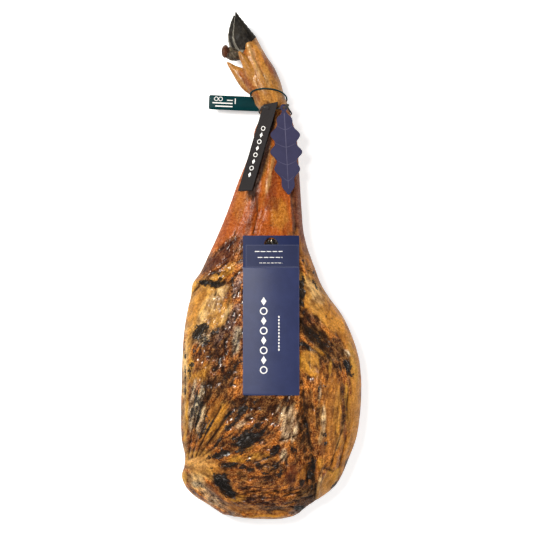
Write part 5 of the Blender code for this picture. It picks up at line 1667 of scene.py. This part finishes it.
def make_seal(finishes):
    """The strap round the ankle and the flat flag that passes under it, with raised bars."""
    loop = ankle_loop(STRAP_Y, STRAP_TILT, STRAP_RADIUS + LOOP_CLEARANCE)
    strap = loop_mesh("seal_strap", loop, STRAP_RADIUS, 14)
    add_piece("seal_strap", strap, finishes["plastic"], "seal_plastic", "seal")
    _, width, thickness = FLAG_SIZE
    across_flag = np.linspace(-0.6, 0.6, 9) * width / MM + FLAG_CENTRE[1]
    flag_top = through(UNDERSIDE, across_flag).min() * MM - LAYER_GAP
    centre = (FLAG_CENTRE[0] * MM, (FLAG_CENTRE[1] + FLAG_SHIFT) * MM, flag_top - thickness / 2)
    turn = Matrix.Translation(centre) @ Matrix.Rotation(FLAG_TURN, 4, "Z")
    flag = rounded_plate("seal_flag", FLAG_SIZE, FLAG_CORNER)
    flag.transform(turn)
    add_piece("seal_flag", flag, finishes["plastic"], "seal_plastic", "seal")
    marks = [ring_line((x, 5), 2.6, 0.4, 28) for x in (-35, -29)]
    marks += [bar(*ends) for ends in FLAG_BARS]
    print_piece("seal_print", finishes["ink"], "seal_plastic", (on_plate(turn, thickness), marks))


def string_route(strip, leaf):
    """The string's closed way round the ankle: over the strip, down its hole, up the leaf's and on."""
    def over(matrix, places):
        """Points of the string on a tag, from (across, off) at its hole."""
        return [tuple(matrix @ Vector((x, -TAG_HOLE_BELOW_TOP, z))) for x, z in places]

    loop = ankle_loop(STRING_Y, STRING_TILT, STRING_RADIUS + LOOP_CLEARANCE)
    down = [(x * MM, z * MM) for x, z in HOLE_CROSSING]
    up = [(x, -z) for x, z in down]
    crossing = over(strip[0], [(-STRIP_WIDTH / 2, STRING_OVER_CARD), *down])
    crossing += over(leaf[0], [*up, (LEAF_HEAD_RADIUS, STRING_OVER_CARD)])
    angle = np.linspace(0, 2 * math.pi, LOOP_STEPS, endpoint=False)
    first, last = STRING_LEAVES_SKIN
    return np.vstack([loop[angle < first], crossing, loop[angle > last]])


def make_string(finishes, strip, leaf):
    """Two strands twisted round each other along the string's route: each a helix about it."""
    route = string_route(strip, leaf)
    closed = np.vstack([route, route[:1]])
    lengths = np.concatenate([[0], np.cumsum(np.linalg.norm(np.diff(closed, axis=0), axis=1))])
    at = np.linspace(0, lengths[-1], int(lengths[-1] / STRING_STEP), endpoint=False)
    line = np.stack([np.interp(at, lengths, part) for part in closed.T], axis=-1)
    for _ in range(3):
        line = (np.roll(line, 1, axis=0) + 2 * line + np.roll(line, -1, axis=0)) / 4
    out, across = square_to_loop(line)
    twist = 2 * math.pi * round(lengths[-1] / STRAND_PITCH) * np.arange(len(line))[:, None] / len(line)
    for i, start in enumerate((0, math.pi)):
        strand = line + (out * np.cos(twist + start) + across * np.sin(twist + start)) * STRING_RADIUS * 0.65
        rings = strand[:, None] + spokes(out, across, 8) * STRING_RADIUS * 0.9
        name = f"string_strand_{i + 1}"
        add_piece(name, tube_mesh(name, rings, True), finishes["string"], "string", "ankle_string")


def make_knot(finishes, place):
    """A small tight knot: a tube along a three-lobed loop."""
    a = np.linspace(0, 2 * math.pi, 90, endpoint=False)[::2]
    x, y = np.sin(a) + 2 * np.sin(2 * a), np.cos(a) - 2 * np.cos(2 * a)
    loop = np.stack([x, y, -1.2 * np.sin(3 * a)], axis=-1)
    knot = loop_mesh("string_knot", loop * 0.85 * MM + np.array(place), 0.8 * MM, 10)
    add_piece("string_knot", knot, finishes["string"], "string")


def make_floor(finish):
    """A flat floor just under the ham, as part of the stage."""
    mesh = bpy.data.meshes.new("studio_floor")
    reach = 8
    corners = [(x * reach, y * reach, 0) for x, y in ((-1, -1), (1, -1), (1, 1), (-1, 1))]
    mesh.from_pydata(corners, [], [(0, 1, 2, 3)])
    mesh.materials.append(finish)
    floor = bpy.data.objects.new("studio_floor", mesh)
    floor.location.z = -0.6 * MM
    bpy.context.scene.collection.objects.link(floor)


def area_light(name, place, size, power, shines, tint):
    """A round lamp that looks at the ham, unseen by the camera."""
    light = bpy.data.lights.new(name, "AREA")
    light.color = tint
    light.shape = "DISK"
    light.size = size
    light.energy = power
    lamp = bpy.data.objects.new(name, light)
    lamp.location = place
    lamp.visible_camera = False
    lamp.visible_glossy = shines
    lamp.rotation_euler = (Vector(LAMP_TARGET) - Vector(place)).to_track_quat("-Z", "Y").to_euler()
    bpy.context.scene.collection.objects.link(lamp)


def make_studio():
    """The camera straight above, a soft key light at the upper left, fill lights and a pale world."""
    camera = bpy.data.cameras.new("camera")
    camera.lens = CAMERA_LENS
    camera.sensor_width = 36
    camera.clip_end = 20
    viewer = bpy.data.objects.new("camera", camera)
    viewer.location = CAMERA_PLACE
    bpy.context.scene.collection.objects.link(viewer)
    bpy.context.scene.camera = viewer
    for lamp in LAMPS:
        area_light(*lamp)
    world = bpy.data.worlds.new("studio")
    world.use_nodes = True
    net = Net(world.node_tree)
    dim = world.node_tree.nodes["Background"]
    dim.inputs["Color"].default_value = (1, 1, 1, 1)
    dim.inputs["Strength"].default_value = 0.07
    seen = net.node("Background", {"Color": (1, 1, 1, 1), "Strength": 1.0})
    both = net.node("MixShader", {0: net.camera_ray(), 1: dim.outputs[0], 2: seen.outputs[0]})
    net.feed(world.node_tree.nodes["World Output"].inputs["Surface"], both.outputs[0])
    bpy.context.scene.world = world
    bpy.context.scene.view_settings.view_transform = "Standard"


def main():
    """Every finish, then every piece, then the floor and the lights."""
    groups = {"mottle": mottle_group(), "fibres": fibre_group(), "paper": paper_group()}
    finishes = {name: card_material(groups, name, *looks) for name, looks in CARDS.items()}
    finishes.update(plain_materials(groups))
    finishes["horn"] = horn_material(groups)
    strip = tag_frame(STRIP_TOP, STRIP_BOTTOM, STRIP_PITCH, STRIP_ROLL, STRIP_WIDTH)
    leaf = tag_frame(LEAF_TOP, LEAF_BOTTOM, LEAF_PITCH, LEAF_ROLL, LEAF_WIDTH)
    make_ham(make_fibres(), cured_meat_material(groups), strip, leaf)
    for name, shape, pale_side in CLAWS:
        make_claw(name, shape, finishes["horn"], pale_side)
    make_label(finishes)
    bevelled_copy("label_card", "label_back_card", finishes["back card"], "navy_card", 0.12 * MM, cut_short)
    bevelled_copy("strip_tag", "strip_tag_card", finishes["black card"], "black_card", 0.15 * MM,
                  lambda mesh: cut_askew(mesh, strip))
    bevelled_copy("leaf_tag", "leaf_tag_card", finishes["slate card"], "slate_card", 0.15 * MM)
    make_tags(finishes, strip, leaf)
    make_seal(finishes)
    make_string(finishes, strip, leaf)
    make_knot(finishes, leaf[0] @ Vector((LEAF_HEAD_RADIUS * 0.7, -4.5 * MM, 2.6 * MM)))
    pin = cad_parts["label_pin"].data.materials
    pin.clear()
    pin.append(finishes["steel"])
    make_floor(floor_material())
    make_studio()


main()
